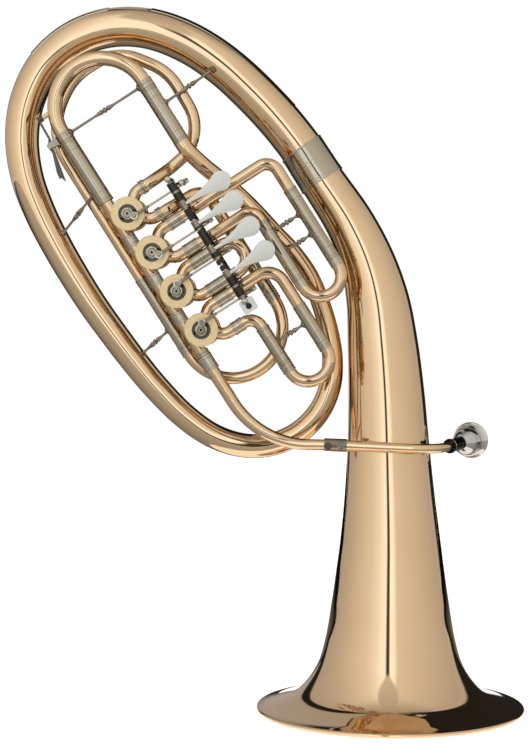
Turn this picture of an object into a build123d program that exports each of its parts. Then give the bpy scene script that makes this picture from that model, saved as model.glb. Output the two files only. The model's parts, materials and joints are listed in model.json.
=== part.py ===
from build123d import *
from math import acos, atan2, cos, degrees, radians, sin
import os

# An oval baritone horn with four rotary valves, stood on its bell.
#
# Part frame: the origin is the centre of the bell rim, on the floor. +Z runs up the bell's axis,
# +X points to the mouthpiece's side and -Y to the valves' side. Millimetres.
#
# Valve frame: u runs down the row of valves, v across it towards the bell and w out of the valve
# caps. Its origin is the middle of the fourth valve, at the height of the valve ports.

os.makedirs("parts", exist_ok=True)

# ---------------------------------------------------------------- driving dimensions

# Sheet and tube walls, and the clearances of what fits together.
bell_wall = 1.1
body_wall = 0.45
tube_wall = 0.5
ferrule_wall = 1.0
slide_fit = 0.03
turn_fit = 0.04
seat_gap = 0.02

# The bell.
rim_radius = 145.0
bead_radius = 2.5
bead_height = 2.2
flare = [(123.0, 9.4), (104.7, 16.4), (90.7, 29.6), (77.9, 50.0), (69.7, 78.0), (63.0, 118.0)]
flare_top = 150.0

# Stations of the body tube: x, y, z and outer radius, from the bell down to the main slide.
bell_route = [
    (0, 0, flare_top, 58.4),
    (0, 0, 178, 54.7),
    (-0.9, 0, 230, 48.8),
    (-2.6, 0, 292, 43.7),
    (-4.8, 0, 345, 40.7),
    (-8.6, 0, 395, 37.8),
    (-14.0, 0, 441, 34.0),
    (-25.0, 0, 483, 29.8),
    (-44.0, 0, 525, 26.6),
    (-73.6, 0, 570.4, 24.3),
    (-85.2, 0, 588.2, 23.9),
]
top_bow_route = [
    (-96.8, 0, 606, 23.6),
    (-121, 0, 636.5, 23.4),
    (-148, 0, 665, 23.1),
    (-181, 0, 694.7, 22.7),
    (-219, 0, 719.3, 22.2),
    (-261, 0, 734.4, 21.6),
    (-301, 0, 735.8, 21.0),
    (-340, 0, 723.5, 20.2),
    (-373, 0, 696.5, 19.5),
    (-392.5, 0, 659, 18.9),
    (-398.8, 0, 619, 18.3),
]
left_branch_route = [
    (-393.6, 0, 576.6, 17.8),
    (-380.3, 0, 539.5, 17.3),
    (-363.0, 0, 504.7, 16.8),
    (-342.9, 0, 470.0, 16.3),
    (-322.2, 0, 437.5, 15.8),
    (-301.1, 0, 408.1, 15.4),
]
bottom_bow_route = [
    (-277.6, 0, 377.0, 15.0),
    (-251.8, 0, 346.2, 14.5),
    (-222.9, 0, 317.4, 14.0),
    (-191.5, 0, 295.8, 13.6),
    (-158.1, 0, 285.6, 13.2),
    (-126.7, 0, 287.4, 12.8),
    (-98.4, 0, 300.6, 12.5),
    (-77.0, 0, 322.9, 12.2),
    (-65.0, 0, 351.8, 11.8),
    (-62.9, 0, 382.0, 11.2),
    (-67.6, -1.5, 412.0, 10.6),
]
return_route = [
    (-76, -4.5, 441, 10.1),
    (-88, -9.5, 470, 9.6),
    (-105.5, -14.5, 495, 9.3),
    (-126, -18.5, 517, 9.1),
    (-145, -21.6, 538, 8.9),
    (-164, -24, 556.5, 8.8),
    (-183, -28.4, 572.5, 8.8),
    (-199.5, -36.5, 586, 8.7),
]
return_lead = 9.0

# The row of valves.
valve_depth = 42.0
valve_top = (-276.4, 533.8)
row_tilt = 32.4
valve_pitch = 48.1
rotor_radius = 15.4
rotor_half = 17.3
casing_wall = 1.2
casing_half = 20.0
cap_radius = 17.9
cap_thick = 2.5
port_radius = 6.5
port_u = 17.0
port_v = 26.0
line_v = -14.5
plate_thick = 2.0
spindle_radius = 3.0
pocket_depth = 10.0
pocket_wall = 1.1
back_cap_thick = 1.6
back_cap_skirt = 6.0
back_cap_wall = 0.9
cork_ring_hole = 9.6
cork_radius = 1.4
cork_circle = 8.0
cork_play = 0.3

# Stop arms, link rods and levers.
pin_circle = 7.0
pin_radius = 1.3
arm_gap = 0.5
arm_thick = 2.4
arm_width = 4.4
hub_radius = 6.0
boss_radius = 3.0
screw_radius = 3.9
screw_thick = 0.7
pin_head = 2.9
link_radius = 1.2
link_thick = 1.8
link_sleeve = (1.6, 11.0)
eye_play = 1.3
eye_wall = 1.4
rod_height = 28.0
crank_rise = 16.0
crank_reach = 14.0
crank_thick = 2.4
axle_v = 56.0
axle_radius = 2.0
barrel_radius = 4.2
post_radius = 3.2
paddle_reach = 46.0
paddle_radius = 10.5
paddle_tip = 2.2
paddle_thick = 1.8
stem_u = {"fourth": 26.0, "third": 50.0, "second": 81.5, "first": 111.0}

# The slides: outer radius of the inner leg, and where legs and bows run.
leg_wall = 0.6
valve_leg_radius = 6.4
main_leg_radius = 7.9
main_right_v = 87.5
main_bow_u = -111.5
main_leg_end = -35.0
main_ferrule = 12.0
main_step = 0.6
bow_ferrule = 9.0
bow_gap = 0.4
first_leg_v = (54.2, 99.5)
first_leg_u = (176.0, 222.0)
second_leg_v = (38.0, 64.0)
third_leg_v = (156.8, 113.8)
third_leg_u = (81.0, 154.0)
third_upper_leg_u = 68.0
fourth_leg_v = (-28.5, 80.0)
fourth_leg_u = (62.0, 149.0)
rear_layer = -19.0
engaged = 40.0

# The leadpipe, the receiver and the mouthpiece.
lead_ferrule_end = 186.0
lead_corner_u = 279.0
lead_run = 79.0
lead_set = 8.5
lead_fall = 4.6
bell_pass = 48.0
lead_bends = [96.0, 150.0, 42.0]
lead_radii = (7.0, 5.0)
mouth_angle = 24.0
mouth_rise = 2.0
lead_tail = 36.0
receiver_radius = 6.9
receiver_length = 30.0
shank_radius = 5.5
shank_depth = 24.0
mouth_rim = 20.0
mouth_length = 34.7

# Braces: how deep a foot reaches past its tube's crown before it is cut to the tube.
foot_sink = 1.5

# ---------------------------------------------------------------- frames and shared shapes

tilt_u = Vector(sin(radians(row_tilt)), 0, -cos(radians(row_tilt)))
VALVES = Plane(origin=(valve_top[0], -valve_depth, valve_top[1]), x_dir=tilt_u, z_dir=(0, -1, 0))
U, V, W = VALVES.x_dir, VALVES.y_dir, VALVES.z_dir
valve_u = {"fourth": 0.0, "third": valve_pitch, "second": 2 * valve_pitch, "first": 3 * valve_pitch}
pin_side = {"fourth": 1, "third": 1, "second": -1, "first": -1}


def at(u, v, w=0.0):
    """A point of the valve frame."""
    return VALVES.from_local_coords(Vector(u, v, w))


def save(piece, label):
    piece.part.label = label
    export_step(piece.part, f"parts/{label}.step")


def rod(plane, length, radius, bore=0.0, mode=Mode.ADD):
    """A round bar or sleeve that starts on plane and runs along its normal."""
    with BuildSketch(plane) as ring:
        Circle(radius)
        if bore:
            Circle(bore, mode=Mode.SUBTRACT)
    extrude(ring.sketch, amount=length, mode=mode)


def bent_tube(route, bends, radius, bore, mode=Mode.ADD):
    """A tube along straight runs and arcs of the valve frame."""
    with BuildLine() as path:
        FilletPolyline(*[at(*point) for point in route], radius=bends)
    with BuildSketch(Plane(origin=path.line @ 0, z_dir=path.line % 0)) as ring:
        Circle(radius)
        if bore:
            Circle(bore, mode=Mode.SUBTRACT)
    sweep(sections=ring.sketch, path=path.line, mode=mode)


def u_bow(centre, start, radius, bore, turn_axis):
    """Half a turn of tube: it starts at start and ends on the far side of centre."""
    towards = centre - start
    with BuildSketch(Plane(origin=start, x_dir=towards, z_dir=turn_axis.cross(towards))) as ring:
        Circle(radius)
        Circle(bore, mode=Mode.SUBTRACT)
    revolve(ring.sketch, axis=Axis(centre, turn_axis), revolution_arc=180)


def station(route, i):
    """The plane square to the route at its station i."""
    before, after = route[max(i - 1, 0)], route[min(i + 1, len(route) - 1)]
    run = Vector(*after[:3]) - Vector(*before[:3])
    return Plane(origin=route[i][:3], x_dir=run.cross(Vector(0, 1, 0)), z_dir=run)


def cone(route, first, last, grow, mode):
    """A conical bar through the route's stations, grow thicker all round."""
    rings = []
    for i in range(first, last + 1):
        with BuildSketch(station(route, i)) as ring:
            Circle(route[i][3] + grow)
        rings.append(ring.sketch)
    loft(sections=rings, mode=mode)


def cone_tube(route, first, last, wall):
    """A conical tube through the route's stations."""
    cone(route, first, last, 0, Mode.ADD)
    cone(route, first, last, -wall, Mode.SUBTRACT)


def brace(start, end, start_radius, end_radius):
    """A turned brace with a bead and two feet, between two tubes' centres."""
    way = (end - start).normalized()
    length = (end - start).length - start_radius - end_radius
    plane = Plane(origin=start + way * start_radius, z_dir=way)
    rod(plane.offset(-foot_sink), foot_sink + 1.2, 4.2)
    rod(plane.offset(1.2), 1.6, 2.6)
    rod(plane, length, 1.7)
    rod(plane.offset(length / 2 - 1.6), 3.2, 2.9)
    rod(plane.offset(length - 2.8), 1.6, 2.6)
    rod(plane.offset(length - 1.2), foot_sink + 1.2, 4.2)


# ---------------------------------------------------------------- the bell and the body tube

body_route = bell_route + top_bow_route + left_branch_route + bottom_bow_route + return_route
bell_end = len(bell_route) - 1
top_end = bell_end + len(top_bow_route)
left_end = top_end + len(left_branch_route)
bottom_end = left_end + len(bottom_bow_route)
bead_middle = rim_radius - bead_radius
main_outer = main_leg_radius + slide_fit + leg_wall
for lead in (return_lead, 0):
    body_route.append((*at(main_leg_end + lead, main_right_v), main_outer))

with BuildPart() as bell_rim_bead:
    with BuildSketch(Plane.XZ):
        with Locations((bead_middle, bead_height)):
            Circle(bead_radius)
        with Locations((bead_middle, -bead_radius)):
            Rectangle(2 * bead_radius, 2 * bead_radius, mode=Mode.SUBTRACT)
    revolve(axis=Axis.Z)
save(bell_rim_bead, "bell_rim_bead")

with BuildPart() as bell:
    for drop, mode in ((0.0, Mode.ADD), (bell_wall, Mode.SUBTRACT)):
        rim = (bead_middle, bead_height + bead_radius - drop)
        top = (bell_route[0][3] - drop, flare_top)
        curve = [rim] + [(r - drop, z - drop) for r, z in flare] + [top]
        with BuildSketch(Plane.XZ) as section:
            with BuildLine():
                Spline(*curve, tangents=((-1, 0.16), (-0.14, 1)))
                Polyline(top, (0, flare_top), (0, rim[1]), rim)
            make_face()
        revolve(section.sketch, axis=Axis.Z, mode=mode)
    with BuildSketch(Plane.XZ) as bead_seat:
        with Locations((bead_middle, bead_height)):
            Circle(bead_radius)
    revolve(bead_seat.sketch, axis=Axis.Z, mode=Mode.SUBTRACT)
    with BuildPart(mode=Mode.PRIVATE) as branch:
        cone_tube(body_route, 0, bell_end, bell_wall)
    add(branch.part)
save(bell, "bell")

with BuildPart() as bell_ferrule:
    cone(body_route, bell_end - 1, bell_end + 1, ferrule_wall, Mode.ADD)
    cone(body_route, 0, bell_end, seat_gap, Mode.SUBTRACT)
    cone(body_route, bell_end, top_end, seat_gap, Mode.SUBTRACT)
save(bell_ferrule, "bell_ferrule")

with BuildPart() as top_bow:
    cone_tube(body_route, bell_end, top_end, body_wall)
save(top_bow, "top_bow")

with BuildPart() as left_branch:
    cone_tube(body_route, top_end, left_end, body_wall)
save(left_branch, "left_branch")

with BuildPart() as bottom_bow:
    cone_tube(body_route, left_end, bottom_end, body_wall)
save(bottom_bow, "bottom_bow")

with BuildPart() as return_branch:
    cone_tube(body_route, bottom_end, len(body_route) - 1, body_wall)
save(return_branch, "return_branch")

# Two strips of sheet guard the outside of the top bow against knocks.
guard_wall = 0.8
guard_span = 12.0
with BuildPart() as bow_guards:
    for first, last in ((bell_end + 2, bell_end + 6), (bell_end + 7, bell_end + 9)):
        strips = []
        for i in range(first, last + 1):
            radius = body_route[i][3]
            with BuildSketch(station(body_route, i)) as strip:
                Circle(radius + guard_wall)
                Circle(radius - guard_wall, mode=Mode.SUBTRACT)
                with Locations((-radius, 0)):
                    Rectangle(guard_span, 2 * guard_span, mode=Mode.INTERSECT)
            strips.append(strip.sketch)
        loft(sections=strips)
    cone(body_route, bell_end, top_end, seat_gap, Mode.SUBTRACT)
save(bow_guards, "bow_guards")

# ---------------------------------------------------------------- valves

casing_radius = rotor_radius + turn_fit + casing_wall
casing_bore = rotor_radius + turn_fit
port_bore = port_radius - tube_wall
half_pitch = valve_pitch / 2 - seat_gap
elbow_start = rotor_radius * sin(radians(45))
elbow_bend = 14.0
arm_base = casing_half + cap_thick + arm_gap
arm_top = arm_base + arm_thick

for name, u in valve_u.items():
    elbows = []
    for side in (-1, 1):
        elbows.append([
            (u + side * elbow_start, elbow_start),
            (u + side * port_u, port_u),
            (u + side * port_u, port_v),
        ])
    with BuildPart() as casing:
        rod(Plane(origin=at(u, 0, -casing_half), z_dir=W), 2 * casing_half, casing_radius)
        rod(Plane(origin=at(u - half_pitch, line_v), z_dir=U), 2 * half_pitch, port_radius)
        for elbow in elbows:
            bent_tube(elbow, elbow_bend, port_radius, 0)
        rod(Plane(origin=at(u - half_pitch, line_v), z_dir=U), 2 * half_pitch, port_bore,
            mode=Mode.SUBTRACT)
        for elbow in elbows:
            bent_tube(elbow, elbow_bend, port_bore, 0, mode=Mode.SUBTRACT)
        rod(Plane(origin=at(u, 0, -casing_half), z_dir=W), 2 * casing_half, casing_bore,
            mode=Mode.SUBTRACT)
    save(casing, f"{name}_valve_casing")

    # The rotor: a barrel with two scoops, turning on a spindle at each end.
    with BuildPart() as rotor:
        rod(Plane(origin=at(u, 0, -rotor_half), z_dir=W), 2 * rotor_half, rotor_radius)
        for side in (-1, 1):
            scoop = Plane(origin=at(u - rotor_radius, side * (rotor_radius - 4)), z_dir=U)
            rod(scoop, 2 * rotor_radius, port_bore, mode=Mode.SUBTRACT)
            end = Plane(origin=at(u, 0, side * (rotor_half - pocket_depth)), z_dir=W * side)
            rod(end, pocket_depth, rotor_radius - pocket_wall, spindle_radius + pocket_wall,
                mode=Mode.SUBTRACT)
        rod(Plane(origin=at(u, 0, -casing_half), z_dir=W),
            casing_half + arm_top, spindle_radius)
    save(rotor, f"{name}_rotor")

with BuildPart() as front_plates:
    for u in valve_u.values():
        rod(Plane(origin=at(u, 0, casing_half - plate_thick), z_dir=W), plate_thick,
            casing_bore - seat_gap, spindle_radius + turn_fit)
save(front_plates, "valve_front_plates")

with BuildPart() as back_plates:
    for u in valve_u.values():
        rod(Plane(origin=at(u, 0, -casing_half), z_dir=W), plate_thick,
            casing_bore - seat_gap, spindle_radius + turn_fit)
save(back_plates, "valve_back_plates")

with BuildPart() as back_caps:
    for u in valve_u.values():
        bottom = Plane(origin=at(u, 0, -casing_half - back_cap_thick), z_dir=W)
        rod(bottom, back_cap_thick + back_cap_skirt, casing_radius + back_cap_wall)
        rod(bottom.offset(back_cap_thick), back_cap_skirt, casing_radius + seat_gap,
            mode=Mode.SUBTRACT)
save(back_caps, "valve_back_caps")

with BuildPart() as cork_plates:
    for u in valve_u.values():
        rod(Plane(origin=at(u, 0, casing_half), z_dir=W), cap_thick, cap_radius, cork_ring_hole)
save(cork_plates, "cork_plates")

# Each stop arm swings a quarter turn. Its boss meets a cork at each end, inside the ring's hole.
cork_reach = boss_radius + cork_radius + cork_play
cork_cosine = (cork_circle**2 + pin_circle**2 - cork_reach**2) / (2 * cork_circle * pin_circle)
cork_angle = degrees(acos(cork_cosine))
with BuildPart() as stop_corks:
    for name, u in valve_u.items():
        for way in (-1, 1):
            turn = radians(way * (45 + cork_angle))
            place = at(u + pin_side[name] * cork_circle * cos(turn), cork_circle * sin(turn),
                       casing_half)
            rod(Plane(origin=place, z_dir=W), arm_top - casing_half, cork_radius)
save(stop_corks, "stop_corks")

pin_reach = rod_height + link_sleeve[0] + arm_gap
pin_offset = pin_circle * sin(radians(45))
for name, u in valve_u.items():
    side = pin_side[name]
    with BuildPart() as stop_arm:
        flat = Plane(origin=at(u, 0, arm_base), x_dir=U * side + V, z_dir=W)
        with BuildSketch(flat) as outline:
            Circle(hub_radius)
            with Locations((pin_circle / 2, 0)):
                Rectangle(pin_circle, arm_width)
            with Locations((pin_circle, 0)):
                Circle(boss_radius)
            Circle(spindle_radius + seat_gap, mode=Mode.SUBTRACT)
        extrude(outline.sketch, amount=arm_thick)
        pin = Plane(origin=at(u + side * pin_offset, pin_offset, arm_top), z_dir=W)
        rod(pin, pin_reach - arm_top, pin_radius)
        rod(pin.offset(pin_reach - arm_top), 1.0, pin_head)
        rod(Plane(origin=at(u, 0, arm_top + seat_gap), z_dir=W), screw_thick, screw_radius)
    save(stop_arm, f"{name}_stop_arm")

# Nickel sleeves join the casings to each other and to the leadpipe.
sleeve_length = 15.0
with BuildPart() as inline_sleeves:
    for gap in range(3):
        middle = (gap + 0.5) * valve_pitch
        rod(Plane(origin=at(middle - sleeve_length / 2, line_v), z_dir=U), sleeve_length,
            port_radius + ferrule_wall, port_radius + seat_gap)
    last_port = valve_u["first"] + half_pitch
    lead_start = last_port + seat_gap
    rod(Plane(origin=at(last_port - 6, line_v), z_dir=U), 6, port_radius + ferrule_wall,
        port_radius + seat_gap)
    rod(Plane(origin=at(last_port, line_v), z_dir=U), lead_ferrule_end - last_port,
        lead_radii[0] + ferrule_wall, lead_radii[0] + seat_gap)
save(inline_sleeves, "inline_sleeves")

# ---------------------------------------------------------------- valve loops and their slides

leg_radius = valve_leg_radius
outer_bore = leg_radius + slide_fit
outer_radius = outer_bore + leg_wall
leg_bore = leg_radius - tube_wall


def outer_leg(start, way, length):
    """The fixed leg of a slide: a ring at its open end and a socket at the other."""
    rod(Plane(origin=start, z_dir=way), length, outer_radius, outer_bore)
    rod(Plane(origin=start + way * (length - 3), z_dir=way), 3, outer_radius + 0.5, outer_bore)


def inner_leg(end, way, length):
    """The moving leg: it ends in the bow's ferrule, which stops it on the outer leg."""
    rod(Plane(origin=end - way * (length + bow_ferrule), z_dir=way), length + bow_ferrule,
        leg_radius, leg_bore)
    rod(Plane(origin=end - way * bow_ferrule, z_dir=way), bow_ferrule, outer_radius, leg_bore)


u_first = valve_u["first"]
with BuildPart() as first_pipes:
    bent_tube([(u_first + port_u, port_v), (u_first + port_u, first_leg_v[0]),
               (first_leg_u[0], first_leg_v[0])], 13.5, port_radius, port_bore)
    bent_tube([(u_first - port_u, port_v), (u_first - port_u, first_leg_v[1]),
               (first_leg_u[0], first_leg_v[1])], 20, port_radius, port_bore)
save(first_pipes, "first_valve_pipes")

with BuildPart() as first_outer:
    for v in first_leg_v:
        outer_leg(at(first_leg_u[0], v), U, first_leg_u[1] - first_leg_u[0])
save(first_outer, "first_slide_outer_legs")

first_bow_u = first_leg_u[1] + bow_gap + bow_ferrule
first_middle = (first_leg_v[0] + first_leg_v[1]) / 2
with BuildPart() as first_bow:
    for v in first_leg_v:
        inner_leg(at(first_bow_u, v), U, engaged)
    u_bow(at(first_bow_u, first_middle), at(first_bow_u, first_leg_v[0]), leg_radius, leg_bore, W)
save(first_bow, "first_slide_bow")

u_second = valve_u["second"]
second_leg_length = second_leg_v[1] - port_v - bow_gap - bow_ferrule
with BuildPart() as second_outer:
    for side in (-1, 1):
        outer_leg(at(u_second + side * port_u, port_v + seat_gap), V, second_leg_length)
save(second_outer, "second_slide_outer_legs")

with BuildPart() as second_bow:
    for side in (-1, 1):
        inner_leg(at(u_second + side * port_u, second_leg_v[1]), V, second_leg_length - 4)
    u_bow(at(u_second, second_leg_v[1]), at(u_second - port_u, second_leg_v[1]),
          leg_radius, leg_bore, -W)
save(second_bow, "second_slide_bow")

u_third = valve_u["third"]
with BuildPart() as third_pipes:
    bent_tube([(u_third - port_u, port_v), (u_third - port_u, third_leg_v[0]),
               (third_upper_leg_u, third_leg_v[0])], 14, port_radius, port_bore)
    bent_tube([(u_third + port_u, port_v), (u_third + port_u, third_leg_v[1]),
               (third_leg_u[0], third_leg_v[1])], 13.5, port_radius, port_bore)
save(third_pipes, "third_valve_pipes")

with BuildPart() as third_outer:
    outer_leg(at(third_upper_leg_u, third_leg_v[0]), U, third_leg_u[1] - third_upper_leg_u)
    outer_leg(at(third_leg_u[0], third_leg_v[1]), U, third_leg_u[1] - third_leg_u[0])
save(third_outer, "third_slide_outer_legs")

third_bow_u = third_leg_u[1] + bow_gap + bow_ferrule
third_middle = (third_leg_v[0] + third_leg_v[1]) / 2
with BuildPart() as third_bow:
    for v in third_leg_v:
        inner_leg(at(third_bow_u, v), U, engaged)
    u_bow(at(third_bow_u, third_middle), at(third_bow_u, third_leg_v[1]), leg_radius, leg_bore, W)
save(third_bow, "third_slide_bow")

# The fourth valve's loop drops to a layer behind the others and goes round inside the oval.
left_v, right_v = fourth_leg_v
with BuildPart() as fourth_upper:
    bent_tube([(-port_u, port_v), (-port_u, 36), (-port_u - 3, 62, rear_layer),
               (-port_u - 11, 112.5, rear_layer), (-108, 114.5, rear_layer), (-157, 80, rear_layer),
               (-158, 26, rear_layer), (-124, left_v, rear_layer), (fourth_leg_u[0], left_v, rear_layer)],
              [24, 22, 46, 58, 52, 66, 70], port_radius, port_bore)
save(fourth_upper, "fourth_valve_upper_crook")

with BuildPart() as fourth_lower:
    bent_tube([(port_u, port_v), (port_u, 36), (port_u, right_v, rear_layer),
               (fourth_leg_u[0], right_v, rear_layer)], [28, 16], port_radius, port_bore)
save(fourth_lower, "fourth_valve_lower_crook")

with BuildPart() as fourth_outer:
    for v in fourth_leg_v:
        outer_leg(at(fourth_leg_u[0], v, rear_layer), U, fourth_leg_u[1] - fourth_leg_u[0])
save(fourth_outer, "fourth_slide_outer_legs")

fourth_bow_u = fourth_leg_u[1] + bow_gap + bow_ferrule
fourth_middle = (left_v + right_v) / 2
with BuildPart() as fourth_bow:
    for v in fourth_leg_v:
        inner_leg(at(fourth_bow_u, v, rear_layer), U, engaged + 10)
    u_bow(at(fourth_bow_u, fourth_middle, rear_layer), at(fourth_bow_u, left_v, rear_layer),
          leg_radius, leg_bore, W)
save(fourth_bow, "fourth_slide_bow")

# ---------------------------------------------------------------- the main tuning slide

main_bore = main_leg_radius + slide_fit
main_open_end = main_bow_u + bow_ferrule + bow_gap
with BuildPart() as main_outer_legs:
    for v in (line_v, main_right_v):
        rod(Plane(origin=at(main_open_end, v), z_dir=U), main_leg_end - main_open_end,
            main_outer, main_bore)
        rod(Plane(origin=at(main_leg_end - main_ferrule, v), z_dir=U), main_ferrule,
            main_outer + main_step, main_bore)
    socket = Plane(origin=at(main_leg_end, line_v), z_dir=U)
    rod(socket, -main_leg_end - half_pitch, main_outer, port_bore)
save(main_outer_legs, "main_slide_outer_legs")

main_engaged = -main_bow_u + main_leg_end - bow_ferrule - 4
main_middle = (line_v + main_right_v) / 2
key_cork_u = -136.0
nipple_radius = 2.6
nipple_foot = -13.0
nipple_end = -24.0
with BuildPart() as main_bow:
    for v in (line_v, main_right_v):
        rod(Plane(origin=at(main_bow_u, v), z_dir=U), bow_ferrule + main_engaged,
            main_leg_radius, main_leg_radius - tube_wall)
        rod(Plane(origin=at(main_bow_u, v), z_dir=U), bow_ferrule, main_outer,
            main_leg_radius - tube_wall)
    nipple = Plane(origin=at(key_cork_u, nipple_foot), z_dir=-V)
    rod(nipple, nipple_foot - nipple_end, nipple_radius)
    u_bow(at(main_bow_u, main_middle), at(main_bow_u, line_v), main_leg_radius,
          main_leg_radius - tube_wall, -W)
    rod(nipple, nipple_foot - nipple_end, nipple_radius - tube_wall, mode=Mode.SUBTRACT)
save(main_bow, "main_slide_bow")

with BuildPart() as main_brace:
    brace_u = main_bow_u + bow_ferrule / 2
    brace(at(brace_u, line_v), at(brace_u, main_right_v), main_outer, main_outer)
    for v in (line_v, main_right_v):
        rod(Plane(origin=at(main_bow_u, v), z_dir=U), bow_ferrule, main_outer + seat_gap,
            mode=Mode.SUBTRACT)
save(main_brace, "main_slide_brace")

# The water key: a sprung bar that holds a cork over a nipple on the slide's bow.
key_pivot = (main_bow_u + 5.0, -33.0)
key_touch = (-72.0, -43.0)
key_width = 4.0
key_thick = 2.0
key_past = 3.0
key_boss = 2.6
key_pin_radius = 1.0
cheek_thick = 1.0
key_line = line_v - main_outer - 4.5
saddle_gap = 0.3
with BuildPart() as key_saddle:
    for side in (-1, 1):
        cheek = Plane(origin=at(*key_pivot, side * (key_width / 2 + saddle_gap)), x_dir=U,
                      z_dir=W * side)
        with BuildSketch(cheek) as outline:
            Circle(3.0)
            with BuildLine():
                height = -key_pivot[1] + line_v - main_outer - 0.1
                Polyline((-3, 0), (3, 0), (4, side * height), (-4, side * height), (-3, 0))
            make_face()
        extrude(outline.sketch, amount=cheek_thick)
    pin_span = key_width + 2 * (saddle_gap + cheek_thick)
    rod(Plane(origin=at(*key_pivot, -pin_span / 2), z_dir=W), pin_span, key_pin_radius)
    flat_top = Plane(origin=at(key_pivot[0], line_v - main_outer - 0.1), x_dir=U, z_dir=-V)
    with BuildSketch(flat_top) as base:
        Rectangle(9, pin_span)
    extrude(base.sketch, amount=cheek_thick)
save(key_saddle, "water_key_saddle")

with BuildPart() as water_key:
    with BuildSketch(Plane(origin=at(0, 0, -key_width / 2), x_dir=U, z_dir=W)) as side_view:
        with BuildLine():
            Polyline(
                (key_cork_u - key_past, key_line), (key_pivot[0] - 6, key_line - 1),
                (key_pivot[0], key_pivot[1] + key_boss), (key_pivot[0] + 8, key_pivot[1] + 1),
                (key_touch[0] + 6, key_touch[1] + 4), (key_touch[0], key_touch[1] + 2), key_touch,
                (key_touch[0] - 7, key_touch[1] + 1), (key_pivot[0] + 8, key_pivot[1] - 2),
                (key_pivot[0], key_pivot[1] - key_boss), (key_pivot[0] - 7, key_line - 3),
                (key_cork_u - key_past, key_line - key_thick), (key_cork_u - key_past, key_line),
            )
        make_face()
    extrude(side_view.sketch, amount=key_width)
    rod(Plane(origin=at(key_cork_u, key_line - key_thick), z_dir=V),
        nipple_end - 0.05 - key_line + key_thick, 3.6)
    rod(Plane(origin=at(*key_pivot, -key_width), z_dir=W), 2 * key_width, key_pin_radius + turn_fit,
        mode=Mode.SUBTRACT)
save(water_key, "water_key")

# ---------------------------------------------------------------- levers and their linkage

axle_w = rod_height + crank_rise
crank_u = {name: u + pin_side[name] * (pin_offset + 1.0) - crank_thick for name, u in valve_u.items()}
barrel = {}
for name in valve_u:
    ends = sorted((stem_u[name], crank_u[name]))
    barrel[name] = (ends[0] - 4.5, ends[1] + 4.5)
axle_start = barrel["fourth"][0] - 7
axle_end = barrel["first"][1] + 7

for name in valve_u:
    start, end = barrel[name]
    with BuildPart() as lever:
        rod(Plane(origin=at(start, axle_v, axle_w), z_dir=U), end - start, barrel_radius)
        top = Plane(origin=at(stem_u[name], axle_v, axle_w + 1), x_dir=V, z_dir=W)
        with BuildSketch(top) as paddle:
            with BuildLine():
                half_turn = atan2(paddle_radius - paddle_tip, paddle_reach - 8)
                tip_u = paddle_tip * cos(half_turn)
                wide_u = paddle_radius * cos(half_turn)
                tip_v = 8 - paddle_tip * sin(half_turn)
                wide_v = paddle_reach - paddle_radius * sin(half_turn)
                Line((0, -tip_u), (tip_v, -tip_u))
                Line((tip_v, -tip_u), (wide_v, -wide_u))
                ThreePointArc((wide_v, -wide_u), (paddle_reach + paddle_radius, 0), (wide_v, wide_u))
                Line((wide_v, wide_u), (tip_v, tip_u))
                Line((tip_v, tip_u), (0, tip_u))
                Line((0, tip_u), (0, -tip_u))
            make_face()
        extrude(paddle.sketch, amount=paddle_thick)
        crank = Plane(origin=at(crank_u[name], axle_v, axle_w), x_dir=V, z_dir=U)
        with BuildSketch(crank) as arm:
            with BuildLine():
                Polyline((-3, -2), (3, 2), (crank_reach + 2, -crank_rise + 2),
                         (crank_reach - 2, -crank_rise - 2), (-3, -2))
            make_face()
            with Locations((crank_reach, -crank_rise)):
                Circle(3.0)
        extrude(arm.sketch, amount=crank_thick / 2, both=True)
        rod(Plane(origin=at(crank_u[name], axle_v + crank_reach, rod_height), z_dir=U),
            crank_thick / 2 + link_thick + 1.0, pin_radius)
        rod(Plane(origin=at(start, axle_v, axle_w), z_dir=U), end - start,
            axle_radius + turn_fit, mode=Mode.SUBTRACT)
    save(lever, f"{name}_lever")

# A link rod hangs on each crank pin and reaches over the stop arm's pin with some play.
eye_bore = pin_radius + eye_play
eye_radius = eye_bore + eye_wall
for name, u in valve_u.items():
    rod_u = crank_u[name] + crank_thick
    crank_pin_v = axle_v + crank_reach
    with BuildPart() as link:
        rod(Plane(origin=at(rod_u, pin_offset, rod_height), z_dir=V), crank_pin_v - pin_offset,
            link_radius)
        rod(Plane(origin=at(rod_u, pin_offset, rod_height), z_dir=V), eye_radius + link_sleeve[1],
            link_sleeve[0])
        rod(Plane(origin=at(rod_u, pin_offset, rod_height - link_thick / 2), z_dir=W), link_thick,
            eye_radius)
        rod(Plane(origin=at(rod_u - link_thick / 2, crank_pin_v, rod_height), z_dir=U), link_thick,
            boss_radius)
        rod(Plane(origin=at(rod_u, pin_offset, rod_height - link_thick), z_dir=W), 2 * link_thick,
            eye_bore, mode=Mode.SUBTRACT)
        rod(Plane(origin=at(rod_u - link_thick, crank_pin_v, rod_height), z_dir=U), 2 * link_thick,
            pin_radius + turn_fit, mode=Mode.SUBTRACT)
    save(link, f"{name}_link_rod")

with BuildPart() as lever_axle:
    rod(Plane(origin=at(axle_start, axle_v, axle_w), z_dir=U), axle_end - axle_start, axle_radius)
save(lever_axle, "lever_axle")

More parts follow.
